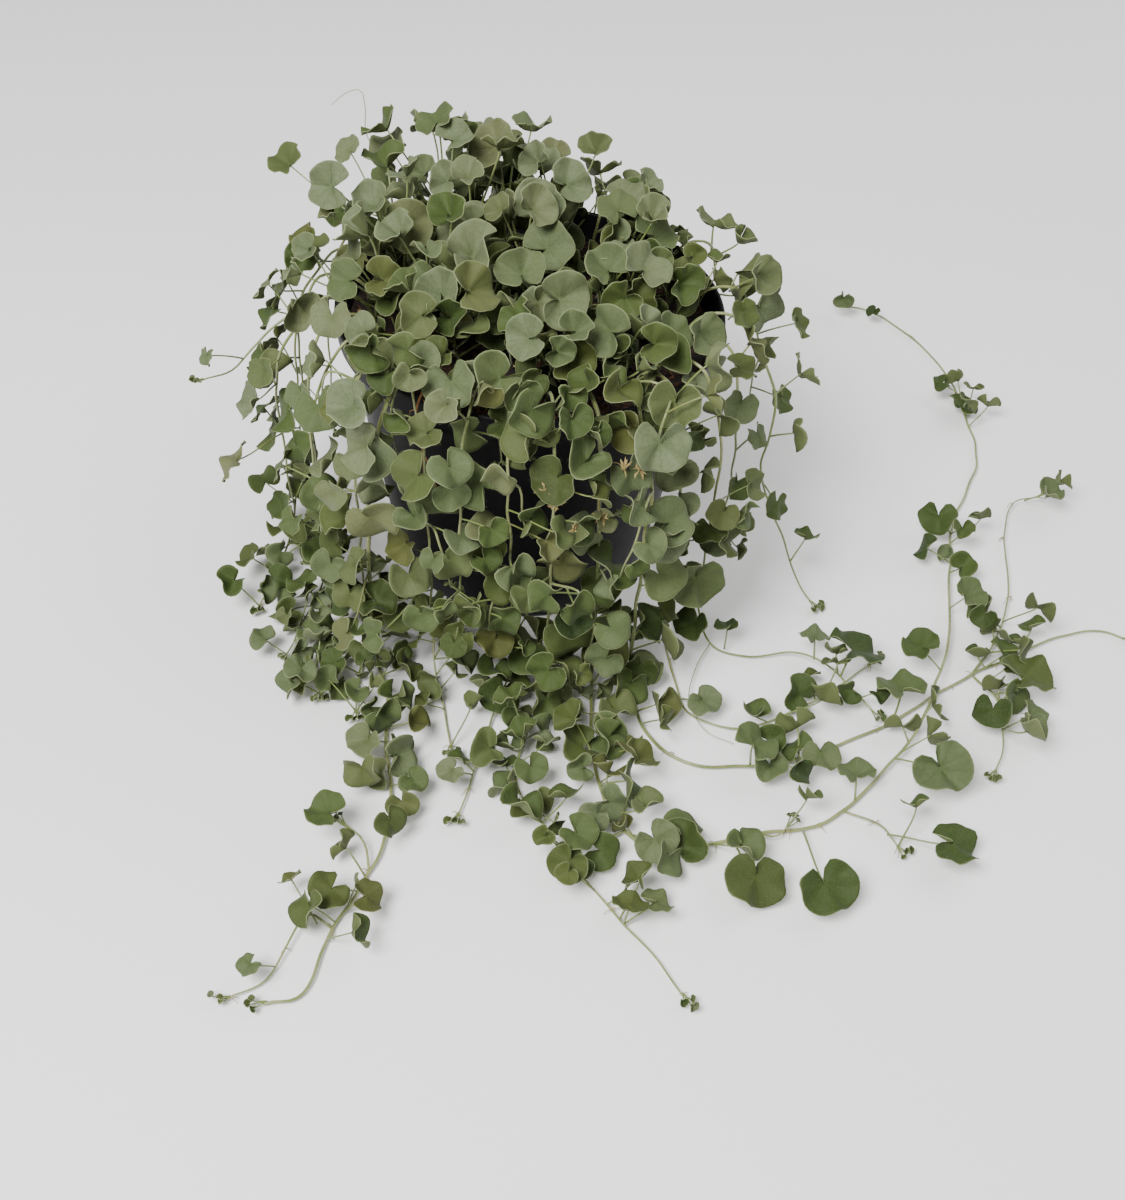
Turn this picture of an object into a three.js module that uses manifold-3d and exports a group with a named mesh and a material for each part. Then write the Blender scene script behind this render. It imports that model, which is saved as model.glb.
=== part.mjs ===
// Potted silver dichondra: a round nursery pot, its potting mix, tufts of long-stalked
// leaves that stand up from the mix, and trailing stems that spill over the rim and run
// on along the surface the pot stands on.
// Units are millimetres, +Z is up, the origin is the centre of the pot's underside, and
// the side seen in the photograph faces -Y.
import * as THREE from 'three';
import { mergeVertices } from 'three/addons/utils/BufferGeometryUtils.js';
import Module from 'manifold-3d';

// Pot, a standard 15 cm nursery pot
const RIM_RADIUS = 75;
const POT_HEIGHT = 118;
const LIP_HEIGHT = 10;
const BODY_TOP_RADIUS = 71.5;
const BASE_RADIUS = 52.5;
const WALL = 1.6;
const RIM_THICKNESS = 2;
const RIM_ROUND = 1;
const FLOOR = 3;
const FOOT_WIDTH = 6;
const CENTRE_PAD_RADIUS = 20;
const RECESS = 1.5;
const DRAIN_HOLES = 6;
const DRAIN_CIRCLE = 35;
const DRAIN_RADIUS = 4;
const DRAIN_SIDES = 8;
const ROUND_SEGMENTS = 36;

// Potting mix, filled to just under the rim
const SOIL_TOP = 109;
const SOIL_RINGS = 3;
const SOIL_BUMP = 1.4;
const HOLE_RADIUS = 1.9;
const HOLE_DEPTH = 7;
const HOLE_SIDES = 5;

// Stems and stalks
const STEM_RADIUS = 1.1;
const BRANCH_RADIUS = 0.9;
const STEM_SIDES = 3;
const TRAIL_STEP = 13;
const TUFT_STEP = 4;
const STALK_RADIUS = 0.45;
const STALK_TAPER = 0.6;
const LEAST_FACING = 0.45;
const SEAT_SPREAD = [0.35, 1.2];
const TUFT_BARE_STEPS = 3;
const TRAIL_BARE_STEPS = 1;

// Leaves: kidney-shaped blades, their width measured across the lobes
const BLADE_THICKNESS = 0.8;
const LARGE_LEAF = 19;
const TRAIL_WIDTH = [12, 20];
const TRAIL_STALK = [9, 20];
const CREEPING_STALK = [8, 15];
const TIP_SHRINK = 0.45;

// Free space kept between pieces, tries at placing a leaf clear of the rest, and the seeds
const GAP = 0.35;
const ATTEMPTS = 14;
const DRAWS = 10;
const SEED_STRIDE = 101;
const TUFT_SEED = 100;
const TRAIL_SEED = 200;
const CROWN_SEED = 500;
const CURTAIN_SEED = 600;

// The blade's outline, in shares of its width: a round blade with a notch down to the stalk
const LARGE_OUTLINE = [0, 50, 96, 140, 163];
const SMALL_OUTLINE = [0, 55, 106, 150];
const ROUND_RADIUS = 0.5;
const SEAT_SHIFT = 0.07;
const SINUS_RADIUS = 0.1;
const SINUS_SPREAD = [0.08, 0.65];
const TIP_DENT = 0.05;
const TIP_DENT_SPREAD = 0.25;
const WAVE = [0.08, 0.3];
const WAVES = 3;

// How leaves are held. Each direction is a sum of up, out from the pot, side (each leaf's own
// way), across (its sideways share) and light (where the window is); a pair is a random range.
// Blades open like a funnel: cone is how far they rise all round from the stalk, fold how much
// more the two lobes beside the notch do, and lean how far the whole blade tips, in radians.
const POSTURES = {
  upright: {
    stalk: { up: 1, out: 0.3, side: [0.1, 0.7] },
    face: { up: 0.75, out: 0.2, side: 0.2, light: 0.45 },
    tip: { out: 0.3, side: 0.85, light: -0.75 },
    cone: [0.1, 0.65],
    fold: [0.1, 0.8],
    lean: 1,
  },
  arching: {
    stalk: { up: 1.1, out: [0.4, 1], across: 1.5 },
    face: { up: 0.8, out: 0.5, across: 0.4, light: 0.2 },
    tip: { up: -1, out: 0.4, across: 0.8 },
    cone: [0.05, 0.5],
    fold: [0, 0.7],
    lean: 0.8,
  },
  hanging: {
    stalk: { up: [0.7, 0.1], out: [0.4, 1], across: 1.5 },
    face: { up: 0.6, out: 0.8, across: 0.5 },
    tip: { up: -1, across: 0.8 },
    cone: [-0.15, 0.35],
    fold: [-0.1, 0.6],
    lean: 0.6,
  },
  creeping: {
    stalk: { up: [0.45, 1], side: 0.8 },
    face: { up: 1, side: 0.35 },
    tip: { side: 1 },
    cone: [0, 0.4],
    fold: [0, 0.5],
    lean: 0.5,
  },
};
const ARCHING_FROM = 112;
const HANGING_FROM = 24;
const TIP_JITTER = 1;
const TURN_PER_LEAF = 2.4;
const TURN_JITTER = 2;

// Tufts that stand up from the mix: root x, y, stem height, leaf count, stalk lengths, leaf widths
const TUFTS = [
  [-48, 12, 20, 5, 24, 40, 14, 21],
  [-34, 36, 20, 5, 28, 46, 14, 22],
  [-12, 50, 16, 5, 26, 42, 14, 22],
  [6, 34, 16, 5, 24, 36, 14, 22],
  [-22, 18, 20, 4, 28, 44, 14, 21],
  [-2, 8, 16, 5, 22, 36, 14, 22],
  [-30, -8, 14, 4, 20, 36, 14, 22],
  [-50, -14, 12, 5, 18, 30, 14, 20],
  [-24, -32, 12, 5, 16, 28, 14, 21],
  [2, -20, 12, 4, 18, 30, 15, 22],
  [8, -44, 12, 5, 12, 26, 14, 21],
  [30, 18, 12, 4, 20, 32, 14, 21],
  [30, -12, 12, 5, 16, 28, 15, 22],
  [34, 44, 10, 3, 16, 26, 13, 19],
  [50, 4, 10, 3, 14, 26, 13, 20],
  [34, -38, 12, 4, 12, 24, 14, 21],
];

// The way of a trailing stem out of the mix and over the rim: [out from the rim, above it]
const TRAIL_ROOT_CIRCLE = 60;
const OVER_RIM = [[-15, -3], [-9, 6], [0, 8.5], [8, 3]];
const SHOULDER_DROP = 22;

// Trailing stems: where each crosses the rim (degrees about the pot, -90 is the front), how
// far out it hangs, how far round it sways on the way down, the height it hangs to, its
// points along the surface, its side branches and its leaf count
const TRAILS = [
  { rim: 156, reach: 92, sway: 4, foot: 26, leaves: 5 },
  { rim: 169, reach: 96, sway: 2, foot: 16, leaves: 6 },
  { rim: 182, reach: 92, sway: 2, foot: 34, leaves: 6,
    branches: [[[-88, 0, 112], [-100, -12, 104], [-112, -26, 96], [-121, -36, 97]]] },
  { rim: 193, reach: 98, sway: -2, foot: 10, leaves: 5, ground: [[-101, -40, 3], [-104, -58, 1.8]] },
  { rim: 204, reach: 89, sway: 3, foot: 8, leaves: 5, ground: [[-84, -64, 2], [-88, -84, 1.8]] },
  { rim: 215, reach: 94, sway: 1, foot: 6, leaves: 6, ground: [[-76, -84, 2], [-72, -104, 1.8]] },
  { rim: 226, reach: 88, sway: 2, foot: 8, leaves: 5, ground: [[-58, -88, 2.4], [-56, -112, 1.8]] },
  { rim: 237, reach: 93, sway: -3, foot: 6, leaves: 5,
    ground: [[-46, -100, 2], [-42, -128, 1.8], [-37, -152, 1.8], [-39, -180, 1.8], [-49, -208, 1.8],
      [-56, -235, 1.8], [-67, -240, 1.8]],
    branches: [
      [[-49, -208, 1.8], [-58, -206, 4], [-64, -219, 3], [-69, -232, 1.8], [-79, -238, 1.8]],
      [[-39, -180, 1.8], [-45, -174, 5], [-52, -168, 6]],
    ] },
  { rim: 248, reach: 87, sway: 2, foot: 12, leaves: 5, ground: [[-24, -104, 2], [-18, -126, 1.8]] },
  { rim: 258, reach: 93, sway: 1, foot: 30, leaves: 6 },
  { rim: 268, reach: 88, sway: 3, foot: 10, leaves: 5,
    ground: [[-4, -112, 2], [-8, -136, 1.8], [-12, -158, 1.8]] },
  { rim: 279, reach: 94, sway: 0, foot: 8, leaves: 4,
    ground: [[10, -112, 2], [8, -140, 1.8], [20, -162, 1.8], [35, -182, 1.8], [52, -204, 1.8],
      [61, -215, 1.8], [68, -226, 1.8]] },
  { rim: 290, reach: 88, sway: 2, foot: 10, leaves: 8,
    ground: [[34, -106, 2], [38, -136, 1.8], [46, -156, 1.8], [60, -167, 1.8], [76, -164, 1.8],
      [97, -157, 1.8], [118, -152, 1.8], [132, -140, 2], [146, -124, 3], [160, -104, 5], [170, -80, 7],
      [180, -50, 5], [186, -8, 3], [192, 22, 2], [202, 49, 2], [210, 74, 2], [210, 103, 1.8],
      [207, 130, 1.8], [199, 156, 1.8], [184, 181, 1.8], [172, 193, 1.8], [160, 197, 1.8]],
    branches: [[[132, -140, 2], [141, -150, 3], [147, -158, 2]]] },
  { rim: 301, reach: 94, sway: 0, foot: 10, leaves: 6,
    ground: [[50, -96, 2], [56, -114, 1.8], [72, -126, 1.8], [90, -126, 1.8], [111, -121, 1.8],
      [130, -111, 1.8], [154, -96, 1.8], [170, -82, 1.8], [188, -68, 1.8], [206, -57, 1.8], [230, -42, 1.8],
      [246, -38, 1.8], [255, -42, 1.8]],
    branches: [
      [[188, -68, 1.8], [197, -54, 3], [206, -34, 3], [211, -8, 3], [214, 16, 3], [221, 40, 3],
        [232, 44, 4]],
      [[188, -68, 1.8], [194, -84, 4], [194, -104, 4], [188, -120, 2]],
    ] },
  { rim: 312, reach: 88, sway: 2, foot: 12, leaves: 4,
    ground: [[66, -82, 2], [72, -100, 1.8], [90, -107, 1.8], [110, -98, 1.8], [128, -84, 1.8],
      [146, -68, 1.8]] },
  { rim: 324, reach: 92, sway: 0, foot: 16, leaves: 4,
    ground: [[82, -64, 3], [96, -68, 1.8], [112, -65, 3], [124, -71, 6], [134, -82, 6], [144, -94, 3]] },
  { rim: 337, reach: 88, sway: 4, foot: 30, leaves: 6 },
  { rim: 351, reach: 98, sway: -4, foot: 60, leaves: 4,
    ground: [[108, -24, 30], [118, -30, 10], [124, -34, 3]] },
  { rim: 6, reach: 92, sway: 2, foot: 70, leaves: 3 },
  { rim: 32, reach: 90, sway: 4, foot: 40, leaves: 5 },
  { rim: 68, reach: 88, sway: -3, foot: 16, leaves: 4, ground: [[48, 96, 4], [58, 110, 2]] },
  { rim: 104, reach: 88, sway: 2, foot: 14, leaves: 5, ground: [[-34, 100, 4], [-40, 118, 2]] },
  { rim: 134, reach: 94, sway: -3, foot: 24, leaves: 5 },
];

// A dry root that has crept over the rim, and its fork: radius, height, degrees from ROOT_RIM
const ROOT_RADIUS = 0.6;
const ROOT_STEP = 7;
const ROOT_RIM = 242.5;
const ROOT_ROUTE = [
  [65, 102.5, 0], [65, 113, 0], [69.5, 119.5, 0.2], [76, 120.5, 0.4],
  [78.8, 112, 0.2], [78, 98, 1.6], [75, 84, 0.6], [72.5, 72, 2.4],
];
const ROOT_FORK = [[78, 98, 1.6], [77, 90, 4], [74, 82, 3.5], [73.5, 76, 5.5]];

// Large leaves that give the plant its look: x, y, z of the blade's middle and its width
const MIDDLE_SHARE = 0.08;
const BUD_DROP = 6;
const BUD_SHARE_COST = 4;
const CROWN_LEAVES = [
  [-97, 35, 150, 16], [-41, 48, 165, 16], [-49, 18, 158, 15], [-60, -13, 150, 23], [-19, -16, 146, 25],
  [-1, 46, 150, 18], [35, 41, 140, 20], [-14, 12, 150, 12], [-73, 31, 160, 11], [5, 57, 150, 14],
  [-75, -1, 150, 11], [-83, -26, 140, 12], [-58, -47, 132, 13], [-29, -60, 132, 14], [5, -34, 140, 14],
  [-8, -74, 134, 20], [13, -58, 136, 13], [38, -71, 128, 16], [53, -33, 130, 16], [40, -14, 132, 17],
  [59, 29, 126, 13], [73, -48, 122, 20],
];
const TRAIL_LEAVES = [
  [-52, -88, 112, 18], [-31, -84, 116, 15], [-11, -92, 108, 19], [14, -94, 108, 17], [52, -75, 108, 16],
  [17, -98, 70, 23], [-11, -104, 62, 22], [70, -76, 48, 22], [-47, -95, 80, 15], [16, -110, 30, 15],
  [-113, -37, 60, 17], [-104, -30, 84, 16], [-109, 0, 106, 13], [77, -63, 72, 13], [-77, -109, 20, 12],
  [137, -74, 16, 22], [153, -91, 14, 19], [165, -130, 12, 22], [166, -162, 10, 19], [93, -184, 10, 21],
  [118, -185, 10, 21], [95, -125, 14, 17], [50, -197, 10, 12], [28, -184, 12, 14], [-58, -170, 14, 15],
  [31, -171, 12, 15], [205, -79, 14, 22], [204, -98, 10, 14], [188, -36, 14, 16], [235, 38, 12, 15],
  [26, -121, 16, 15], [8, -128, 14, 15], [3, -119, 24, 13], [37, -102, 30, 14], [-59, -108, 40, 12],
  [-47, -111, 44, 13], [-38, -127, 28, 12], [52, -136, 14, 15], [86, -64, 14, 10], [-66, -196, 10, 8],
];

const wasm = await Module();
wasm.setup();

// Small helpers
const radians = THREE.MathUtils.degToRad;
const mix = (low, high, share) => low + (high - low) * share;
const UP = new THREE.Vector3(0, 0, 1);
const LIGHT = new THREE.Vector3(0, -1, 0);
const SOIL_HOLE_FLOOR = SOIL_TOP - HOLE_DEPTH;

function polar(radius, degrees, z) {
  return new THREE.Vector3(radius * Math.cos(radians(degrees)), radius * Math.sin(radians(degrees)), z);
}

// A repeatable random number source, so that every build grows the same plant
function seeded(seed) {
  let state = seed >>> 0;
  return () => {
    state = (state + 0x6d2b79f5) >>> 0;
    let value = Math.imul(state ^ (state >>> 15), state | 1);
    value ^= value + Math.imul(value ^ (value >>> 7), value | 61);
    return ((value ^ (value >>> 14)) >>> 0) / 4294967296;
  };
}

// Closed solids, and the way back to a mesh geometry
function solidFrom(vertices, triangles) {
  return new wasm.Manifold(new wasm.Mesh({
    numProp: 3,
    vertProperties: new Float32Array(vertices),
    triVerts: new Uint32Array(triangles),
  }));
}

function solidOf(geometry) {
  geometry.deleteAttribute('normal');
  geometry.deleteAttribute('uv');
  const merged = mergeVertices(geometry, 1e-4);
  const triangles = [];
  for (let i = 0; i < merged.index.count; i += 3) {
    const [a, b, c] = [0, 1, 2].map((k) => merged.index.getX(i + k));
    if (a !== b && b !== c && c !== a) triangles.push(a, b, c);
  }
  return solidFrom(merged.attributes.position.array, triangles);
}

function geometryOf(solid) {
  const mesh = solid.getMesh();
  const geometry = new THREE.BufferGeometry();
  geometry.setAttribute('position', new THREE.BufferAttribute(mesh.vertProperties, 3));
  geometry.setIndex(new THREE.BufferAttribute(mesh.triVerts, 1));
  geometry.computeVertexNormals();
  return geometry;
}

function prism(radius, sides, x, y, low, high) {
  const cylinder = new THREE.CylinderGeometry(radius, radius, high - low, sides);
  cylinder.rotateX(Math.PI / 2);
  cylinder.translate(x, y, (low + high) / 2);
  return solidOf(cylinder);
}

// A closed turned body from a profile of [radius, height] points
function turned(profile, segments) {
  const lathe = new THREE.LatheGeometry(profile.map(([r, z]) => new THREE.Vector2(r, z)), segments);
  lathe.rotateX(Math.PI / 2);
  return lathe;
}

// Pot
const wallSlope = (BODY_TOP_RADIUS - BASE_RADIUS) / (POT_HEIGHT - LIP_HEIGHT);
const innerRadius = (z) => BASE_RADIUS + wallSlope * z - WALL;

function makePot() {
  const lipFoot = POT_HEIGHT - LIP_HEIGHT;
  const footInner = BASE_RADIUS - FOOT_WIDTH;
  const body = solidOf(turned([
    [0, 0], [CENTRE_PAD_RADIUS, 0], [CENTRE_PAD_RADIUS + RECESS, RECESS], [footInner - RECESS, RECESS],
    [footInner, 0], [BASE_RADIUS, 0], [BODY_TOP_RADIUS, lipFoot], [RIM_RADIUS - RIM_ROUND / 2, lipFoot],
    [RIM_RADIUS, POT_HEIGHT - RIM_ROUND], [RIM_RADIUS - RIM_ROUND, POT_HEIGHT],
    [RIM_RADIUS - RIM_THICKNESS, POT_HEIGHT - RIM_ROUND / 2], [innerRadius(lipFoot), lipFoot],
    [innerRadius(FLOOR), FLOOR], [0, FLOOR],
  ], ROUND_SEGMENTS));
  const drains = [];
  for (let i = 0; i < DRAIN_HOLES; i += 1) {
    const centre = polar(DRAIN_CIRCLE, (i * 360) / DRAIN_HOLES, 0);
    drains.push(prism(DRAIN_RADIUS, DRAIN_SIDES, centre.x, centre.y, -1, FLOOR + 1));
  }
  return body.subtract(wasm.Manifold.union(drains));
}

// Potting mix, with an uneven top and a plain hole for each stem
function soilHeight(x, y) {
  const broad = Math.sin(x * 0.13 + 1) * Math.cos(y * 0.17);
  const fine = Math.sin(x * 0.31 + y * 0.27);
  return SOIL_TOP + SOIL_BUMP * (broad + fine / 2);
}

function makeSoil(roots) {
  const edge = innerRadius(SOIL_TOP) - GAP;
  const profile = [[0, FLOOR + GAP], [innerRadius(FLOOR) - 2 * GAP, FLOOR + GAP], [edge, SOIL_TOP]];
  for (let ring = SOIL_RINGS - 1; ring >= 0; ring -= 1) {
    profile.push([(edge * ring) / SOIL_RINGS, SOIL_TOP]);
  }
  const lathe = turned(profile, ROUND_SEGMENTS);
  const position = lathe.attributes.position;
  for (let i = 0; i < position.count; i += 1) {
    const [x, y, z] = [position.getX(i), position.getY(i), position.getZ(i)];
    const onTop = z > SOIL_TOP - GAP && Math.hypot(x, y) < edge - GAP;
    if (onTop) position.setZ(i, soilHeight(x, y));
  }
  const holes = roots.map(({ x, y }) => (
    prism(HOLE_RADIUS, HOLE_SIDES, x, y, SOIL_HOLE_FLOOR, SOIL_TOP + HOLE_DEPTH)));
  return solidOf(lathe).subtract(wasm.Manifold.union(holes));
}

// Stems: a smooth route cut into equal straight steps, with a leaf bud in the middle of each
function makeStem(points, radius, step) {
  const route = new THREE.CatmullRomCurve3(points, false, 'catmullrom', 0.5);
  const steps = Math.max(2, Math.round(route.getLength() / step));
  const section = new THREE.Shape();
  for (let i = 0; i < STEM_SIDES; i += 1) {
    const angle = (i * 2 * Math.PI) / STEM_SIDES;
    section[i === 0 ? 'moveTo' : 'lineTo'](radius * Math.cos(angle), radius * Math.sin(angle));
  }
  const tube = new THREE.ExtrudeGeometry(section, { steps, bevelEnabled: false, extrudePath: route });
  const joints = route.getSpacedPoints(steps);
  const buds = joints.slice(1).map((joint, i) => ({ point: joint.clone().lerp(joints[i], 0.5), taken: 0 }));
  return { joints, buds, solid: solidOf(tube) };
}

function tuftRoute([x, y, height]) {
  const out = new THREE.Vector3(x, y, 0).normalize();
  const at = (lean, z) => new THREE.Vector3(x, y, z).addScaledVector(out, lean * height);
  const emerging = SOIL_TOP + 2;
  return [
    at(0, SOIL_HOLE_FLOOR + GAP), at(0, emerging),
    at(0.15, emerging + height / 2), at(0.35, emerging + height),
  ];
}

function trailRoute({ rim, reach, sway, foot, ground = [] }) {
  const shoulder = POT_HEIGHT - SHOULDER_DROP;
  return [
    polar(TRAIL_ROOT_CIRCLE, rim, SOIL_HOLE_FLOOR + GAP),
    ...OVER_RIM.map(([r, z]) => polar(RIM_RADIUS + r, rim, POT_HEIGHT + z)),
    polar(reach, rim + sway * 0.3, shoulder),
    polar(reach, rim + sway * 0.8, (shoulder + foot) / 2),
    polar(reach, rim + sway, foot),
    ...ground.map((point) => new THREE.Vector3(...point)),
  ];
}

// Leaves: where each blade sits, how it is turned, and its size
function postureAt(z) {
  if (z > ARCHING_FROM) return POSTURES.arching;
  return z > HANGING_FROM ? POSTURES.hanging : POSTURES.creeping;
}

// The directions that a posture mixes, at one point of the plant
function compassAt(point, spin) {
  const out = new THREE.Vector3(point.x, point.y, 0).normalize();
  const along = new THREE.Vector3().crossVectors(UP, out);
  const side = new THREE.Vector3(Math.cos(spin), Math.sin(spin), 0);
  return { up: UP, out, along, side, across: along.clone().multiplyScalar(Math.sin(spin)), light: LIGHT };
}

function blend(compass, weights, share) {
  const sum = new THREE.Vector3();
  for (const [name, weight] of Object.entries(weights)) {
    sum.addScaledVector(compass[name], Array.isArray(weight) ? mix(...weight, share) : weight);
  }
  return sum;
}

// Turns a leaf so that it faces one way with its tip towards another, and shapes its blade
function finishLeaf(leaf, posture, compass, draw) {
  leaf.z = blend(compass, posture.face, 0);
  leaf.z.addScaledVector(compass.along, (draw[4] - 0.5) * posture.lean);
  leaf.z.addScaledVector(compass.out, (draw[5] - 0.5) * posture.lean).normalize();
  const tip = blend(compass, posture.tip, 0);
  leaf.x = tip.addScaledVector(leaf.z, -tip.dot(leaf.z)).normalize();
  leaf.y = new THREE.Vector3().crossVectors(leaf.z, leaf.x);
  leaf.cone = mix(...posture.cone, draw[6]);
  leaf.fold = mix(...posture.fold, draw[7]);
  leaf.wave = mix(...WAVE, draw[8]);
  leaf.phase = draw[9] * 2 * Math.PI;
  return leaf;
}

// A leaf by rule at one bud of a stem
function ruledLeaf(stem, root, turn, draw) {
  const posture = stem.upright ? POSTURES.upright : postureAt(root.z);
  const compass = compassAt(root, turn * TURN_PER_LEAF + (draw[0] - 0.5) * TURN_JITTER);
  const stalk = blend(compass, posture.stalk, draw[3]).normalize();
  const length = mix(...(posture === POSTURES.creeping ? CREEPING_STALK : stem.stalk), draw[2]);
  const towardsTip = stem.upright ? 0 : (turn + 0.5) / stem.count;
  const leaf = {
    root,
    seat: root.clone().addScaledVector(stalk, length),
    width: mix(...stem.width, draw[1]) * (1 - TIP_SHRINK * towardsTip ** 2),
  };
  return finishLeaf(leaf, posture, compass, draw);
}

// A large leaf at a chosen place, its tip turned away from the bud or hanging down
function placedLeaf(root, [x, y, z, width], upright, draw) {
  const middle = new THREE.Vector3(x, y, z);
  const away = middle.clone().sub(root);
  const posture = upright ? POSTURES.upright : postureAt(z);
  const spin = Math.atan2(away.y, away.x) + (draw[0] - 0.5) * TIP_JITTER;
  const leaf = finishLeaf({ root, width }, posture, compassAt(middle, spin), draw);
  leaf.seat = middle.addScaledVector(leaf.x, -MIDDLE_SHARE * width);
  return leaf;
}

// The blade's edge: how far it lies from the stalk at an angle, and how steeply it rises there
function edgeRadius(angle, width) {
  const shift = SEAT_SHIFT * Math.cos(angle)
    + Math.sqrt(ROUND_RADIUS ** 2 - (SEAT_SHIFT * Math.sin(angle)) ** 2);
  const lobe = mix(SINUS_RADIUS, 1, THREE.MathUtils.smoothstep(Math.PI - angle, ...SINUS_SPREAD));
  const dent = 1 - TIP_DENT * Math.exp(-((angle / TIP_DENT_SPREAD) ** 2));
  return width * shift * lobe * dent;
}

function bladeRise({ cone, fold, wave, phase }, angle) {
  return cone + (fold * (1 - Math.cos(angle))) / 2 + wave * Math.sin(WAVES * angle + phase);
}

function edgeAngles(width) {
  const half = (width >= LARGE_LEAF ? LARGE_OUTLINE : SMALL_OUTLINE).map(radians);
  return [...half.slice(1).reverse(), 0, ...half.slice(1).map((angle) => -angle)];
}

// How far the stalk's corners lie before and behind the seat, so that they sit across its
// run, and how squarely they do
function stalkSeat(leaf) {
  const down = leaf.root.clone().sub(leaf.seat).normalize();
  const [back, below] = [-down.dot(leaf.x), -down.dot(leaf.z)];
  const square = back > 0 ? (BLADE_THICKNESS * below) / back : Infinity;
  const spread = THREE.MathUtils.clamp(square, ...SEAT_SPREAD);
  const facing = (back * BLADE_THICKNESS + below * spread) / Math.hypot(BLADE_THICKNESS, spread);
  return { reach: spread / 2, facing };
}

// One leaf solid: both faces fan out from the stalk in the same triangles. The stalk is
// three-sided with flat sides, from inside the stem to the blade; without it the opening
// in the notch is closed flat.
function leafSolid(leaf, withStalk) {
  const { x, y, z, seat, width } = leaf;
  const place = (a, b, c) => (
    seat.clone().addScaledVector(x, a).addScaledVector(y, b).addScaledVector(z, c));
  const half = BLADE_THICKNESS / 2;
  const { reach } = stalkSeat(leaf);
  const vertices = [
    place(-reach, 0, half), place(reach, STALK_RADIUS, -half), place(reach, -STALK_RADIUS, -half),
  ];
  const triangles = [];
  const angles = edgeAngles(width);
  for (const angle of angles) {
    const radius = edgeRadius(Math.abs(angle), width);
    const rise = bladeRise(leaf, angle);
    const [ahead, aside] = [Math.cos(angle), Math.sin(angle)];
    for (const side of [half, -half]) {
      const reached = radius * Math.cos(rise) - side * Math.sin(rise);
      const height = radius * Math.sin(rise) + side * Math.cos(rise);
      vertices.push(place(reached * ahead, reached * aside, height));
    }
  }
  const top = (i) => 3 + 2 * i;
  const low = (i) => 4 + 2 * i;
  const last = angles.length - 1;
  const middle = last / 2;
  for (let i = 0; i < last; i += 1) {
    triangles.push(0, top(i + 1), top(i));
    triangles.push(i < middle ? 1 : 2, low(i), low(i + 1));
    triangles.push(top(i), top(i + 1), low(i + 1), top(i), low(i + 1), low(i));
  }
  triangles.push(1, low(middle), 2);
  triangles.push(0, top(0), low(0), 0, low(0), 1);
  triangles.push(0, low(last), top(last), 0, 2, low(last));
  if (withStalk) {
    addStalk(leaf, vertices, triangles);
  } else {
    triangles.push(0, 1, 2);
  }
  return solidFrom(vertices.flatMap((point) => point.toArray()), triangles);
}

function addStalk(leaf, vertices, triangles) {
  const corners = vertices.slice(0, 3);
  const middle = corners[0].clone().add(corners[1]).add(corners[2]).divideScalar(3);
  const feet = corners.map((corner) => (
    vertices.push(corner.clone().sub(middle).multiplyScalar(STALK_TAPER).add(leaf.root)) - 1));
  for (let k = 0; k < 3; k += 1) {
    const m = (k + 1) % 3;
    triangles.push(k, m, feet[m], k, feet[m], feet[k]);
  }
  triangles.push(...feet);
}

// Plant: every stem first, then the leaves one by one, each kept only where it is clear
function boxOf(solid) {
  const { min, max } = solid.boundingBox();
  return new THREE.Box3(new THREE.Vector3(...min), new THREE.Vector3(...max)).expandByScalar(GAP);
}

function clearOf({ solid, box }, others) {
  return others.every((other) => (
    !box.intersectsBox(other.box) || solid.minGap(other.solid, GAP) >= GAP));
}

function tryLeaf(leaf, owner, stems, fixed) {
  if (stalkSeat(leaf).facing < LEAST_FACING) return false;
  const [whole, blade] = [true, false].map((withStalk) => {
    const solid = leafSolid(leaf, withStalk);
    return { solid, box: boxOf(solid), sound: solid.status() === 'NoError' && solid.volume() > 0 };
  });
  if (!whole.sound || !blade.sound || whole.solid.boundingBox().min[2] < GAP) return false;
  if (!clearOf(whole, fixed) || !clearOf(blade, owner.runs)) return false;
  if (!clearOf(blade, owner.leaves.map((other) => other.whole))) return false;
  if (!clearOf(whole, owner.leaves.map((other) => other.blade))) return false;
  for (const stem of stems.filter((other) => other !== owner)) {
    if (!clearOf(whole, stem.runs)) return false;
    if (!clearOf(whole, stem.leaves.map((other) => other.whole))) return false;
  }
  owner.leaves.push({ whole, blade });
  return true;
}

function newStem(name, route, step, options) {
  const main = makeStem(route, STEM_RADIUS, step);
  const runs = [main, ...options.branches.map((points) => {
    const branch = points.map((point) => new THREE.Vector3(...point));
    return makeStem([nearest(main.joints, branch[0]), ...branch.slice(1)], BRANCH_RADIUS, step);
  })];
  return {
    name,
    ...options,
    root: route[0],
    leaves: [],
    buds: runs.flatMap((run, i) => (i === 0 ? run.buds.slice(options.bare) : run.buds)),
    runs: runs.map(({ solid }) => ({ solid, box: boxOf(solid) })),
  };
}

function growPlant() {
  const number = (i) => String(i + 1).padStart(2, '0');
  const tufts = TUFTS.map((tuft, i) => newStem(`crown_tuft_${number(i)}`, tuftRoute(tuft), TUFT_STEP, {
    upright: true,
    branches: [],
    bare: TUFT_BARE_STEPS,
    count: tuft[3],
    stalk: [tuft[4], tuft[5]],
    width: [tuft[6], tuft[7]],
    seed: TUFT_SEED + i,
  }));
  const trails = TRAILS.map((trail, i) => (
    newStem(`trailing_stem_${number(i)}`, trailRoute(trail), TRAIL_STEP, {
      upright: false,
      branches: trail.branches ?? [],
      bare: TRAIL_BARE_STEPS,
      count: trail.leaves,
      stalk: TRAIL_STALK,
      width: TRAIL_WIDTH,
      seed: TRAIL_SEED + i,
    })));
  return { tufts, trails, stems: [...tufts, ...trails] };
}

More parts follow.
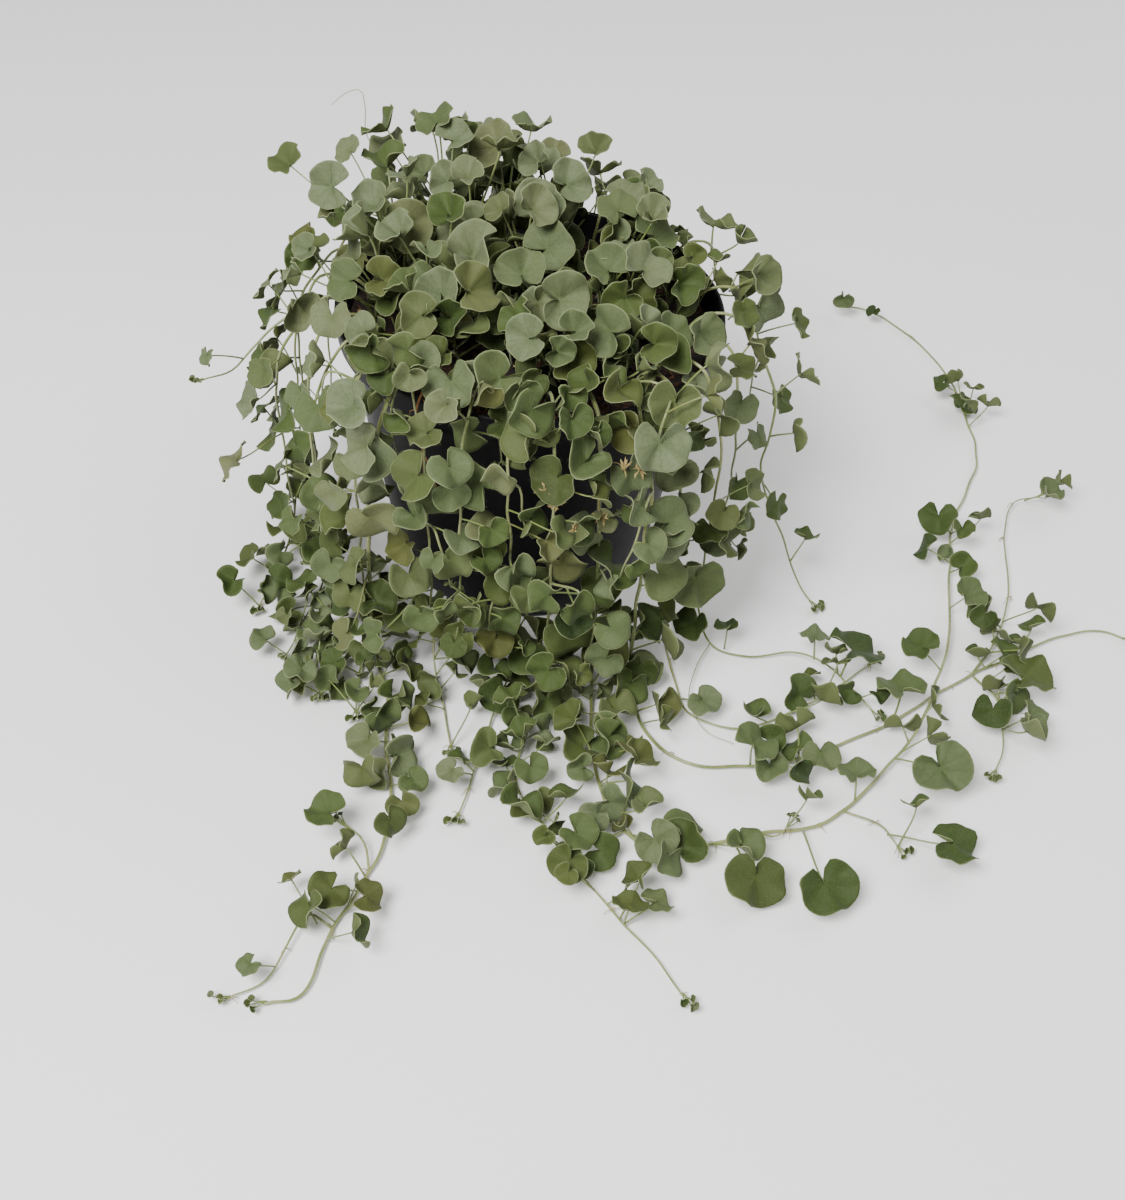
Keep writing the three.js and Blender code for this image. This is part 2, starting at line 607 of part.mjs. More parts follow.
function nearest(points, target) {
  return points.reduce((best, point) => (
    point.distanceTo(target) < best.distanceTo(target) ? point : best));
}

// The buds that bear leaves by rule, spread evenly from above the mix to the far tips
function bearingBuds({ buds, count }) {
  return Array.from({ length: count }, (_, i) => buds[Math.floor(((i + 0.5) * buds.length) / count)]);
}

// The bud nearest to a chosen leaf, of those with the fewest leaves so far
function budFor(stems, [x, y, z]) {
  const drop = postureAt(z) === POSTURES.hanging ? 0 : BUD_DROP;
  const target = new THREE.Vector3(x, y, z - drop);
  let best = { cost: Infinity };
  for (const stem of stems) {
    for (const bud of stem.buds) {
      const cost = bud.point.distanceTo(target) + bud.taken * BUD_SHARE_COST;
      if (cost < best.cost) best = { cost, stem, bud };
    }
  }
  best.bud.taken += 1;
  return best;
}

// The random numbers of one leaf at one attempt
function drawsFor(seed, index, attempt) {
  const random = seeded((seed * SEED_STRIDE + index) * SEED_STRIDE + attempt);
  return Array.from({ length: DRAWS }, random);
}

function growLeaf(stem, plant, fixed, leafAt) {
  for (let attempt = 0; attempt < ATTEMPTS; attempt += 1) {
    if (tryLeaf(leafAt(attempt), stem, plant.stems, fixed)) return;
  }
}

function addLeaves(plant, fixed) {
  const chosen = [
    [plant.tufts, CROWN_LEAVES, CROWN_SEED], [plant.trails, TRAIL_LEAVES, CURTAIN_SEED],
  ];
  for (const [stems, leaves, seed] of chosen) {
    leaves.forEach((entry, index) => {
      const { stem, bud } = budFor(stems, entry);
      growLeaf(stem, plant, fixed, (attempt) => (
        placedLeaf(bud.point, entry, stem.upright, drawsFor(seed, index, attempt))));
    });
  }
  for (const stem of plant.stems) {
    bearingBuds(stem).forEach((bud, index) => {
      growLeaf(stem, plant, fixed, (attempt) => (
        ruledLeaf(stem, bud.point, index, drawsFor(stem.seed, index, attempt))));
    });
  }
}

// Assembly
function material(colour, roughness) {
  return new THREE.MeshStandardMaterial({ color: colour, roughness, metalness: 0 });
}

const LOOKS = {
  pot: material(0x2a292c, 0.45),
  soil: material(0x3b2a20, 0.95),
  leaf: material(0x8f9c74, 0.75),
  dryRoot: material(0x9a6a3c, 0.85),
};

function makeDryRoot() {
  const [route, fork] = [ROOT_ROUTE, ROOT_FORK].map((points) => (
    points.map(([radius, z, sway]) => polar(radius, ROOT_RIM + sway, z))));
  const main = makeStem(route, ROOT_RADIUS, ROOT_STEP);
  const side = makeStem([nearest(main.joints, fork[0]), ...fork.slice(1)], ROOT_RADIUS, ROOT_STEP);
  return { root: main.joints[0], solid: main.solid.add(side.solid) };
}

const plant = growPlant();
const dryRoot = makeDryRoot();
const roots = [...plant.stems, dryRoot].map((stem) => stem.root);
const pot = makePot();
const soil = makeSoil(roots);
addLeaves(plant, [pot, soil, dryRoot.solid].map((solid) => ({ solid, box: boxOf(solid) })));

const group = new THREE.Group();
group.name = 'potted_dichondra';

function addNode(name, solid, look) {
  const mesh = new THREE.Mesh(geometryOf(solid), look);
  mesh.name = name;
  group.add(mesh);
}

addNode('pot', pot, LOOKS.pot);
addNode('soil', soil, LOOKS.soil);
addNode('dry_root', dryRoot.solid, LOOKS.dryRoot);
for (const stem of plant.stems) {
  const pieces = [...stem.runs.map((run) => run.solid), ...stem.leaves.map((leaf) => leaf.whole.solid)];
  addNode(stem.name, wasm.Manifold.union(pieces), LOOKS.leaf);
}

export default group;
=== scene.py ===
# Potted silver dichondra, dressed. The solids are grown from a rule; the same rule is followed
# here, and each leaf that the solids hold gets a fine blade, stalk and hairs in the same place.
# More leaves fill in between, and the pot and the mix get their real surfaces.
# Lengths are millimetres until a mesh is made, +Z is up and the photograph looks along +Y.
import math

import bmesh
import bpy
import numpy as np
from mathutils import Matrix, Vector, kdtree, noise


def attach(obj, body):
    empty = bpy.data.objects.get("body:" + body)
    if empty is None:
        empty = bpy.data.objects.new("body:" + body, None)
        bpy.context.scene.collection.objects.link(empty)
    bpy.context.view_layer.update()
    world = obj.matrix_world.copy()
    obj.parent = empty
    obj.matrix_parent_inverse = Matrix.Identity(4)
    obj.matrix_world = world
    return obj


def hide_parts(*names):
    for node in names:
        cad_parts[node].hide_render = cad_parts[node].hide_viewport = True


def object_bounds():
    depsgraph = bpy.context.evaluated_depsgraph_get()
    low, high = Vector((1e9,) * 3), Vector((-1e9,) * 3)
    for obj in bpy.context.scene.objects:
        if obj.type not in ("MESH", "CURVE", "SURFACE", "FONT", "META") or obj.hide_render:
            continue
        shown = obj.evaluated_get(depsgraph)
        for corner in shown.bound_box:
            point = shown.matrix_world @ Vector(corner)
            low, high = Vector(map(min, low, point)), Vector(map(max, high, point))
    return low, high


METRE = 1000.0

# The camera, found from the pot's rim and foot in the photograph
PHOTO_HEIGHT = 1200
FOCAL_PIXELS = 1513.5
SENSOR = 36.0
CAMERA_PITCH = math.radians(43.91)
CAMERA_ROLL = 0.0694
CAMERA_AIM = (19.9, -40.36, 0.0)
CAMERA_DISTANCE = 633.5
FLOOR_HALF = 6.0

# Light from all round, then each lamp: name, place and aim in metres, size, power
WORLD_COLOUR = (1, 0.995, 0.98, 1)
WORLD_STRENGTH = 0.5
LIGHTS = (
    ("key", (-0.45, -0.75, 1.15), (0.02, -0.03, 0.1), 0.6, 34),
    ("fill", (0.9, 0.5, 0.9), (0.05, 0, 0.05), 1.2, 9),
)

# Pot and mix, as in the solids
RIM_RADIUS = 75
POT_HEIGHT = 118
LIP_HEIGHT = 10
BODY_TOP_RADIUS = 71.5
BASE_RADIUS = 52.5
WALL = 1.6
FLOOR = 3
FOOT_WIDTH = 6
CENTRE_PAD_RADIUS = 20
RECESS = 1.5
DRAIN_HOLES = 6
DRAIN_CIRCLE = 35
DRAIN_RADIUS = 4
SOIL_TOP = 109
SOIL_BUMP = 1.4
HOLE_DEPTH = 7
GAP = 0.35
WALL_SLOPE = (BODY_TOP_RADIUS - BASE_RADIUS) / (POT_HEIGHT - LIP_HEIGHT)

# How finely the pot and the mix are made, and the chips and fibres that lie on the mix
POT_SECTORS = 144
HOLE_SECTORS = 24
SOIL_SECTORS = 150
SOIL_RINGS = 44
CHIPS = 420
CHIP_SIZE = (0.5, 2.2)
FIBRES = 260
FIBRE_LENGTH = (4, 14)
FIBRE_POINTS = 7
FIBRE_RADIUS = (0.16, 0.06)
COIR_SHARE = 0.45
LITTER_SEED = 7

# Stems, as in the solids
TRAIL_STEP = 13
TUFT_STEP = 4
TUFT_BARE_STEPS = 3
TRAIL_BARE_STEPS = 1

# How finely a line is followed, and the steps at its start without added leaves
LONG_STEPS = 60
MIDDLE_STEPS = 30
SHORT_STEPS = 20
BARE_START = 3

# Leaves, as in the solids
BLADE_THICKNESS = 0.8
TRAIL_WIDTH = (12, 20)
TRAIL_STALK = (9, 20)
CREEPING_STALK = (8, 15)
TIP_SHRINK = 0.45
ROUND_RADIUS = 0.5
SEAT_SHIFT = 0.07
SINUS_RADIUS = 0.1
SINUS_SPREAD = (0.08, 0.65)
TIP_DENT = 0.05
TIP_DENT_SPREAD = 0.25
WAVE = (0.08, 0.3)
WAVES = 3
POSTURES = {
    "upright": {
        "stalk": {"up": 1, "out": 0.3, "side": (0.1, 0.7)},
        "face": {"up": 0.75, "out": 0.2, "side": 0.2, "light": 0.45},
        "tip": {"out": 0.3, "side": 0.85, "light": -0.75},
        "cone": (0.1, 0.65), "fold": (0.1, 0.8), "lean": 1,
    },
    "arching": {
        "stalk": {"up": 1.1, "out": (0.4, 1), "across": 1.5},
        "face": {"up": 0.8, "out": 0.5, "across": 0.4, "light": 0.2},
        "tip": {"up": -1, "out": 0.4, "across": 0.8},
        "cone": (0.05, 0.5), "fold": (0, 0.7), "lean": 0.8,
    },
    "hanging": {
        "stalk": {"up": (0.7, 0.1), "out": (0.4, 1), "across": 1.5},
        "face": {"up": 0.6, "out": 0.8, "across": 0.5},
        "tip": {"up": -1, "across": 0.8},
        "cone": (-0.15, 0.35), "fold": (-0.1, 0.6), "lean": 0.6,
    },
    "creeping": {
        "stalk": {"up": (0.45, 1), "side": 0.8},
        "face": {"up": 1, "side": 0.35},
        "tip": {"side": 1},
        "cone": (0, 0.4), "fold": (0, 0.5), "lean": 0.5,
    },
}
ARCHING_FROM = 112
HANGING_FROM = 24
TIP_JITTER = 1
TURN_PER_LEAF = 2.4
TURN_JITTER = 2
ATTEMPTS = 14
DRAWS = 10
SEED_STRIDE = 101
TUFT_SEED = 100
TRAIL_SEED = 200
CROWN_SEED = 500
CURTAIN_SEED = 600
MIDDLE_SHARE = 0.08
BUD_DROP = 6
BUD_SHARE_COST = 4
MATCH = 0.03

# Tufts: root x, y, stem height, leaf count, stalk lengths, leaf widths
TUFTS = [
    (-48, 12, 20, 5, 24, 40, 14, 21),
    (-34, 36, 20, 5, 28, 46, 14, 22),
    (-12, 50, 16, 5, 26, 42, 14, 22),
    (6, 34, 16, 5, 24, 36, 14, 22),
    (-22, 18, 20, 4, 28, 44, 14, 21),
    (-2, 8, 16, 5, 22, 36, 14, 22),
    (-30, -8, 14, 4, 20, 36, 14, 22),
    (-50, -14, 12, 5, 18, 30, 14, 20),
    (-24, -32, 12, 5, 16, 28, 14, 21),
    (2, -20, 12, 4, 18, 30, 15, 22),
    (8, -44, 12, 5, 12, 26, 14, 21),
    (30, 18, 12, 4, 20, 32, 14, 21),
    (30, -12, 12, 5, 16, 28, 15, 22),
    (34, 44, 10, 3, 16, 26, 13, 19),
    (50, 4, 10, 3, 14, 26, 13, 20),
    (34, -38, 12, 4, 12, 24, 14, 21),
]

# Trailing stems: where each crosses the rim, how far out it hangs, its sway, the height it
# hangs to, its leaf count, its points along the surface and its side branches; a point
# without a height lies on the surface
LYING = 1.8
TRAIL_ROOT_CIRCLE = 60
OVER_RIM = ((-15, -3), (-9, 6), (0, 8.5), (8, 3))
SHOULDER_DROP = 22
TRAILS = [
    (156, 92, 4, 26, 5, [], []),
    (169, 96, 2, 16, 6, [], []),
    (182, 92, 2, 34, 6, [], [[(-88, 0, 112), (-100, -12, 104), (-112, -26, 96), (-121, -36, 97)]]),
    (193, 98, -2, 10, 5, [(-101, -40, 3), (-104, -58)], []),
    (204, 89, 3, 8, 5, [(-84, -64, 2), (-88, -84)], []),
    (215, 94, 1, 6, 6, [(-76, -84, 2), (-72, -104)], []),
    (226, 88, 2, 8, 5, [(-58, -88, 2.4), (-56, -112)], []),
    (237, 93, -3, 6, 5,
     [(-46, -100, 2), (-42, -128), (-37, -152), (-39, -180), (-49, -208),
      (-56, -235), (-67, -240)],
     [[(-49, -208), (-58, -206, 4), (-64, -219, 3), (-69, -232), (-79, -238)],
      [(-39, -180), (-45, -174, 5), (-52, -168, 6)]]),
    (248, 87, 2, 12, 5, [(-24, -104, 2), (-18, -126)], []),
    (258, 93, 1, 30, 6, [], []),
    (268, 88, 3, 10, 5, [(-4, -112, 2), (-8, -136), (-12, -158)], []),
    (279, 94, 0, 8, 4,
     [(10, -112, 2), (8, -140), (20, -162), (35, -182), (52, -204),
      (61, -215), (68, -226)], []),
    (290, 88, 2, 10, 8,
     [(34, -106, 2), (38, -136), (46, -156), (60, -167), (76, -164),
      (97, -157), (118, -152), (132, -140, 2), (146, -124, 3), (160, -104, 5),
      (170, -80, 7), (180, -50, 5), (186, -8, 3), (192, 22, 2), (202, 49, 2), (210, 74, 2),
      (210, 103), (207, 130), (199, 156), (184, 181), (172, 193),
      (160, 197)],
     [[(132, -140, 2), (141, -150, 3), (147, -158, 2)]]),
    (301, 94, 0, 10, 6,
     [(50, -96, 2), (56, -114), (72, -126), (90, -126), (111, -121),
      (130, -111), (154, -96), (170, -82), (188, -68), (206, -57),
      (230, -42), (246, -38), (255, -42)],
     [[(188, -68), (197, -54, 3), (206, -34, 3), (211, -8, 3), (214, 16, 3), (221, 40, 3),
       (232, 44, 4)],
      [(188, -68), (194, -84, 4), (194, -104, 4), (188, -120, 2)]]),
    (312, 88, 2, 12, 4,
     [(66, -82, 2), (72, -100), (90, -107), (110, -98), (128, -84),
      (146, -68)], []),
    (324, 92, 0, 16, 4,
     [(82, -64, 3), (96, -68), (112, -65, 3), (124, -71, 6), (134, -82, 6), (144, -94, 3)], []),
    (337, 88, 4, 30, 6, [], []),
    (351, 98, -4, 60, 4, [(108, -24, 30), (118, -30, 10), (124, -34, 3)], []),
    (6, 92, 2, 70, 3, [], []),
    (32, 90, 4, 40, 5, [], []),
    (68, 88, -3, 16, 4, [(48, 96, 4), (58, 110, 2)], []),
    (104, 88, 2, 14, 5, [(-34, 100, 4), (-40, 118, 2)], []),
    (134, 94, -3, 24, 5, [], []),
]

# The dry root that has crept over the rim, and its fork: radius, height, and degrees from
# where it crosses the rim
ROOT_RIM = 242.5
ROOT_ROUTE = [
    (65, 102.5, 0), (65, 113, 0), (69.5, 119.5, 0.2), (76, 120.5, 0.4),
    (78.8, 112, 0.2), (78, 98, 1.6), (75, 84, 0.6), (72.5, 72, 2.4),
]
ROOT_RADIUS = (0.6, 0.22)
FORK_RADIUS = (0.34, 0.15)
ROOT_HAIRS = 9
ROOT_HAIR_RADIUS = (0.14, 0.06)
ROOT_SEED = 3
ROOT_CLEARANCE = (3, 30, 4)
ROOT_VIEW_RISE = 0.9
ROOT_FORK = [(78, 98, 1.6), (77, 90, 4), (74, 82, 3.5), (73.5, 76, 5.5)]

# Leaves at chosen places: x, y, z of the blade's middle and its width
CROWN_LEAVES = [
    (-97, 35, 150, 16), (-41, 48, 165, 16), (-49, 18, 158, 15), (-60, -13, 150, 23), (-19, -16, 146, 25),
    (-1, 46, 150, 18), (35, 41, 140, 20), (-14, 12, 150, 12), (-73, 31, 160, 11), (5, 57, 150, 14),
    (-75, -1, 150, 11), (-83, -26, 140, 12), (-58, -47, 132, 13), (-29, -60, 132, 14), (5, -34, 140, 14),
    (-8, -74, 134, 20), (13, -58, 136, 13), (38, -71, 128, 16), (53, -33, 130, 16), (40, -14, 132, 17),
    (59, 29, 126, 13), (73, -48, 122, 20),
]
TRAIL_LEAVES = [
    (-52, -88, 112, 18), (-31, -84, 116, 15), (-11, -92, 108, 19), (14, -94, 108, 17), (52, -75, 108, 16),
    (17, -98, 70, 23), (-11, -104, 62, 22), (70, -76, 48, 22), (-47, -95, 80, 15), (16, -110, 30, 15),
    (-113, -37, 60, 17), (-104, -30, 84, 16), (-109, 0, 106, 13), (77, -63, 72, 13), (-77, -109, 20, 12),
    (137, -74, 16, 22), (153, -91, 14, 19), (165, -130, 12, 22), (166, -162, 10, 19), (93, -184, 10, 21),
    (118, -185, 10, 21), (95, -125, 14, 17), (50, -197, 10, 12), (28, -184, 12, 14), (-58, -170, 14, 15),
    (31, -171, 12, 15), (205, -79, 14, 22), (204, -98, 10, 14), (188, -36, 14, 16), (235, 38, 12, 15),
    (26, -121, 16, 15), (8, -128, 14, 15), (3, -119, 24, 13), (37, -102, 30, 14), (-59, -108, 40, 12),
    (-47, -111, 44, 13), (-38, -127, 28, 12), (52, -136, 14, 15), (86, -64, 14, 10), (-66, -196, 10, 8),
]

# Fine blades, stalks, stems and hairs, and the young leaves at the tips
FINE_THICKNESS = 0.3
WAVE_KEPT = 0.85
FINE_SINUS = 0.03
FINE_SPREAD = (0.0, 0.62)
FINE_BROADER = 0.09
FINE_SHORTER = 0.07
FINE_SHORTER_SPREAD = 0.6
EDGE_WAVE = 0.025
# Rings from heart to rim, corners round each ring, and the two wave counts of the rim
FULL_GRID = ((0.18, 0.38, 0.58, 0.78, 0.92, 1.0), 36, (5, 8))
SMALL_GRID = ((0.4, 0.8, 1.0), 28, (3, 5))
VEINS = 9
VEIN_FOLD = 0.004
HOLLOW = (-0.05, 0.34)
RUFFLE = 0.065
RIM_CURL = 0.02
RIM_CURL_FROM = 0.82
STALK_RADIUS = (0.5, 0.38)
STALK_THINNEST = 0.55
STALK_FULL_AT = 40
STALK_SIDES = 4
STALK_STEPS = 6
STALK_LEAVES_AT = 0.35
STALK_ARRIVES_AT = 0.25
STALK_BOW = (0.04, 0.1, -0.03)
STEM_SIDES = 6
STEM_DETAIL = 2.6
STEM_RADIUS = (0.64, 0.36)
STEM_TAPER = 1.2
SIDE_THICKNESS = 0.8
THICK_STEMS = {"trailing_stem_08": 1.5, "trailing_stem_13": 1.25, "trailing_stem_14": 1.25}
WIGGLE = 1.1
WIGGLE_SCALE = 0.07
HAIR_WIDTH = 0.05
HAIR_LENGTH = (0.25, 0.6)
HAIR_LEAN = 0.3
HAIRS_PER_WIDTH = 2.5
HAIR_TURN = 3.0
YOUNG_WIDTH = (2.4, 4.6)
YOUNG_LEAVES = 3

# Side shoots and runners: how many, how far they reach, and the way of a shoot from its
# start, each step as shares of its length sideways, outward and up
SHOOTS = 2
SHOOT_SHARE = (0.12, 0.62)
SHOOT_LENGTH = (18, 46)
SHOOT_STEP = 9
SHOOT_SPREAD = (0.5, 1)
SHOOT_MARGIN = 3
SHOOT_HANGS = ((0.3, 0.25, 0.1), (0.45, 0.3, -0.3), (0.5, 0.15, -0.9))
SHOOT_CREEPS = ((0.3, 0.1, 0.05), (0.6, 0.3, 0.0), (0.9, 0.2, 0.0))
RUNNERS = 2
RUNNER_LENGTH = (18, 44)
RUNNER_RISE = (1.5, 8)
RUNNER_START = 0.45
RUNNER_EDGE = 10
RUNNER_HEIGHT = 2.5

# Leaves that fill in between those of the solids: how many are tried and how they are held
FILL_STEP = 7
FILL_TRIES = 6
FILL_WIDTH = (10, 21)
FILL_STALK = (4, 17)
TUFT_FILL = 4
OPEN_FROM = 25
OPEN_SHARE = 0.55
TUFT_FILL_STALK = (0.12, 0.82)
TUFT_FILL_WIDTH = (10, 21)
RUNNER_STALK = (4, 20)
LOOSE = 2.1
SPIN = 2.6
EXTRA_FOLD = 1.7
LEAST_SIZE = 0.4
ROOM = 1.3
FILL_TIP_SHRINK = 0.35
FILL_TURN = 1.3
OVER_POT = 1.5
OVER_MIX = 3
INSIDE_RIM = 4
SAMPLE_TURN = 2.9
SAMPLES_ROUND = 13
SAMPLE_SHARES = (0.35, 0.7, 1.0)
CROWD_STEP = 3

# Where fewer or more of them are tried
THIN_SIDE = 0.75
THIN_SHARE = 0.1
BRIM_SHARE = 0.48
BRIM_HEIGHT = 85
HANGING_SHARE = 0.56
NEAR_POT = 165
NEAR_SIDE = 60
NEAR_TRIES = 2
PARTING = (-36, -2)
PARTING_FROM = -104
PARTING_SHARE = 0.25
CLUSTER_SPACING = 2.6
CLUSTER_LEVEL = 0.6

# How silvery and how dry a leaf is: its share low down and high up, and between what heights; in the crown
# the low share also stands for painted shade deep among the leaves
CROWN_SILVER_AND_SHADE = (-0.1, 0.85)
CROWN_SILVER_AND_SHADE_RISE = (116, 142)
CURTAIN_SILVER = (0.55, 0.72)
RIGHT_SILVER = (0.42, 0.72)
CURTAIN_SILVER_RISE = (20, 120)
RIGHT_FROM = 60
RIGHT_BELOW = 40
SILVER_SPREAD = 0.24
DRY = 0.06
RIGHT_DRY = -0.2
DRY_SPREAD = 0.2

# Dried flowers among the front stems, rootlets where a stem lies on the surface, and stray
# threads: the node they grow from and their way
FLOWERS = ((15.7, -97, 100), (11.3, -96, 105), (22.6, -97, 89), (31, -94, 92), (43.5, -88, 110.6),
           (38, -90, 112))
FLOWER_RAYS = 13
FLOWER_SIZE = (2.0, 4.4)
FLOWER_STALK = (0.3, 0.22)
RAY_RADIUS = (0.2, 0.45, 0.1)
ROOTLETS = 3
ROOTLET_SHARE = 0.3
ROOTLETS_BELOW = 4
ROOTLET_LENGTH = (1.5, 4)
ROOTLET_RADIUS = (0.24, 0.16, 0.08)
THREADS = {
    "crown_tuft_02": [(-40, 42, 130), (-68, 58, 148), (-70.5, 60, 163), (-72, 60, 170), (-78, 60, 168.4),
                      (-84, 60, 163)],
    "trailing_stem_16": [(75, -77, 3), (72, -95, 3), (78, -110, 3), (89, -115, 2)],
}
THREAD_RADIUS = (0.3, 0.14)

UP = np.array([0.0, 0.0, 1.0])
LIGHT = np.array([0.0, -1.0, 0.0])
LEAF, STEM, HAIR, HUSK = 0, 1, 2, 3


# Small helpers
def mix(low, high, share):
    return low + (high - low) * share


def unit(vector):
    return vector / np.linalg.norm(vector)


def smoothstep(value, low, high):
    share = np.clip((value - low) / (high - low), 0, 1)
    return share * share * (3 - 2 * share)


def units(rows):
    return rows / np.linalg.norm(rows, axis=1)[:, None]


def level_way(angle):
    return np.array([math.cos(angle), math.sin(angle), 0.0])


def nearest(points, place):
    return points[np.linalg.norm(points - place, axis=1).argmin()]


def polar(radius, degrees, z):
    angle = math.radians(degrees)
    return np.array([radius * math.cos(angle), radius * math.sin(angle), z])


def inner_radius(z):
    return BASE_RADIUS + WALL_SLOPE * z - WALL


def outer_radius(z):
    body = BASE_RADIUS + WALL_SLOPE * z
    return np.where(z > POT_HEIGHT - LIP_HEIGHT - 1, RIM_RADIUS, body)


# The repeatable random numbers of the solids
def seeded(seed):
    state = seed & 0xFFFFFFFF

    def draw():
        nonlocal state
        state = (state + 0x6D2B79F5) & 0xFFFFFFFF
        value = ((state ^ (state >> 15)) * (state | 1)) & 0xFFFFFFFF
        value ^= (value + (((value ^ (value >> 7)) * (value | 61)) & 0xFFFFFFFF)) & 0xFFFFFFFF
        return (value ^ (value >> 14)) / 4294967296

    return draw


def draws_for(seed, index, attempt):
    draw = seeded((seed * SEED_STRIDE + index) * SEED_STRIDE + attempt)
    return [draw() for _ in range(DRAWS)]


class Route:
    """A smooth curve through points, measured along its length."""

    SAMPLES = 200

    def __init__(self, points):
        points = np.array(points, float)
        first = 2 * points[0] - points[1]
        last = 2 * points[-1] - points[-2]
        self.points = np.vstack([first, points, last])
        shares = np.linspace(0, 1, self.SAMPLES + 1)
        steps = np.linalg.norm(np.diff(self.at(shares), axis=0), axis=1)
        self.run = np.concatenate([[0], np.cumsum(steps)])
        self.length = self.run[-1]

    def at(self, shares):
        spans = len(self.points) - 3
        place = np.clip(np.asarray(shares) * spans, 0, spans)
        start = np.minimum(place.astype(int), spans - 1)
        t = (place - start)[:, None]
        before, low, high, after = (self.points[start + i] for i in range(4))
        leave, arrive = (high - before) / 2, (after - low) / 2
        bend = -3 * low + 3 * high - 2 * leave - arrive
        return low + t * leave + t * t * bend + t ** 3 * (2 * low - 2 * high + leave + arrive)

    def spaced(self, steps):
        run = np.linspace(0, self.length, steps + 1)
        return self.at(np.interp(run, self.run, np.linspace(0, 1, len(self.run))))


# Stems, with the buds that the solids' leaves grow from
def tuft_route(x, y, height):
    out = unit(np.array([x, y, 0.0]))
    emerging = SOIL_TOP + 2
    hole_floor = SOIL_TOP - HOLE_DEPTH
    places = ((0, hole_floor + GAP), (0, emerging), (0.15, emerging + height / 2),
              (0.35, emerging + height))
    return [np.array([x, y, z]) + out * lean * height for lean, z in places]


def lying(point):
    """A point of the lists, on the surface where no height is given."""
    return np.array([*point, LYING][:3], float)


def trail_route(rim, reach, sway, foot, ground):
    shoulder = POT_HEIGHT - SHOULDER_DROP
    return [
        polar(TRAIL_ROOT_CIRCLE, rim, SOIL_TOP - HOLE_DEPTH + GAP),
        *[polar(RIM_RADIUS + out, rim, POT_HEIGHT + z) for out, z in OVER_RIM],
        polar(reach, rim + sway * 0.3, shoulder),
        polar(reach, rim + sway * 0.8, (shoulder + foot) / 2),
        polar(reach, rim + sway, foot),
        *[lying(point) for point in ground],
    ]


def make_run(points, step):
    route = Route(points)
    steps = max(2, math.floor(route.length / step + 0.5))
    joints = route.spaced(steps)
    buds = [{"point": point, "taken": 0} for point in (joints[1:] + joints[:-1]) / 2]
    return {"route": route, "joints": joints, "buds": buds}


def make_stem(name, points, branches, step, bare, **options):
    main = make_run(points, step)
    runs = [main]
    for branch in branches:
        way = [lying(point) for point in branch]
        runs.append(make_run([nearest(main["joints"], way[0]), *way[1:]], step))
    buds = main["buds"][bare:] + [bud for run in runs[1:] for bud in run["buds"]]
    return {"name": name, "runs": runs, "buds": buds, "leaves": [], "flowers": [], **options}


def make_stems():
    tufts = []
    for i, (x, y, height, count, short, long, narrow, wide) in enumerate(TUFTS):
        tufts.append(make_stem(
            f"crown_tuft_{i + 1:02d}", tuft_route(x, y, height), [], TUFT_STEP, TUFT_BARE_STEPS,
            upright=True, count=count, stalk=(short, long), width=(narrow, wide), seed=TUFT_SEED + i))
    trails = []
    for i, (rim, reach, sway, foot, count, ground, branches) in enumerate(TRAILS):
        trails.append(make_stem(
            f"trailing_stem_{i + 1:02d}", trail_route(rim, reach, sway, foot, ground), branches,
            TRAIL_STEP, TRAIL_BARE_STEPS, upright=False, count=count, stalk=TRAIL_STALK,
            width=TRAIL_WIDTH, seed=TRAIL_SEED + i, rim=rim))
    return tufts, trails


# How a leaf is held
def posture_at(z):
    if z > ARCHING_FROM:
        return "arching"
    return "hanging" if z > HANGING_FROM else "creeping"


def compass_at(point, spin):
    out = unit(np.array([point[0], point[1], 0.0]))
    along = np.cross(UP, out)
    return {"up": UP, "out": out, "along": along, "side": level_way(spin),
            "across": along * math.sin(spin), "light": LIGHT}


def blend(compass, weights, share=0):
    total = np.zeros(3)
    for name, weight in weights.items():
        total = total + compass[name] * (mix(*weight, share) if isinstance(weight, tuple) else weight)
    return total


def aim(leaf, face, tip):
    leaf["z"] = unit(face)
    leaf["x"] = unit(tip - leaf["z"] * np.dot(tip, leaf["z"]))
    leaf["y"] = np.cross(leaf["z"], leaf["x"])
    return leaf


def finish_leaf(leaf, posture, compass, draw):
    rule = POSTURES[posture]
    face = blend(compass, rule["face"]) + compass["along"] * (draw[4] - 0.5) * rule["lean"]
    aim(leaf, face + compass["out"] * (draw[5] - 0.5) * rule["lean"], blend(compass, rule["tip"]))
    leaf["cone"] = mix(*rule["cone"], draw[6])
    leaf["fold"] = mix(*rule["fold"], draw[7])
    leaf["wave"] = mix(*WAVE, draw[8])
    leaf["phase"] = draw[9] * 2 * math.pi
    return leaf


def held_leaf(root, posture, turn, length, width, draw):
    compass = compass_at(root, turn * TURN_PER_LEAF + (draw[0] - 0.5) * TURN_JITTER)
    stalk = unit(blend(compass, POSTURES[posture]["stalk"], draw[3]))
    leaf = {"root": root, "seat": root + stalk * length, "width": width}
    return finish_leaf(leaf, posture, compass, draw)


def loose_leaf(root, posture, turn, length, width, draw):
    """An added leaf: held like the others, but leaning and turned more freely."""
    leaf = held_leaf(root, posture, turn, length, width, draw)
    leaf["fold"] *= EXTRA_FOLD
    spin = (draw[3] - 0.5) * SPIN
    face = leaf["z"] + LOOSE * ((draw[0] - 0.5) * leaf["x"] + (draw[2] - 0.5) * leaf["y"])
    return aim(leaf, face, leaf["x"] * math.cos(spin) + leaf["y"] * math.sin(spin))


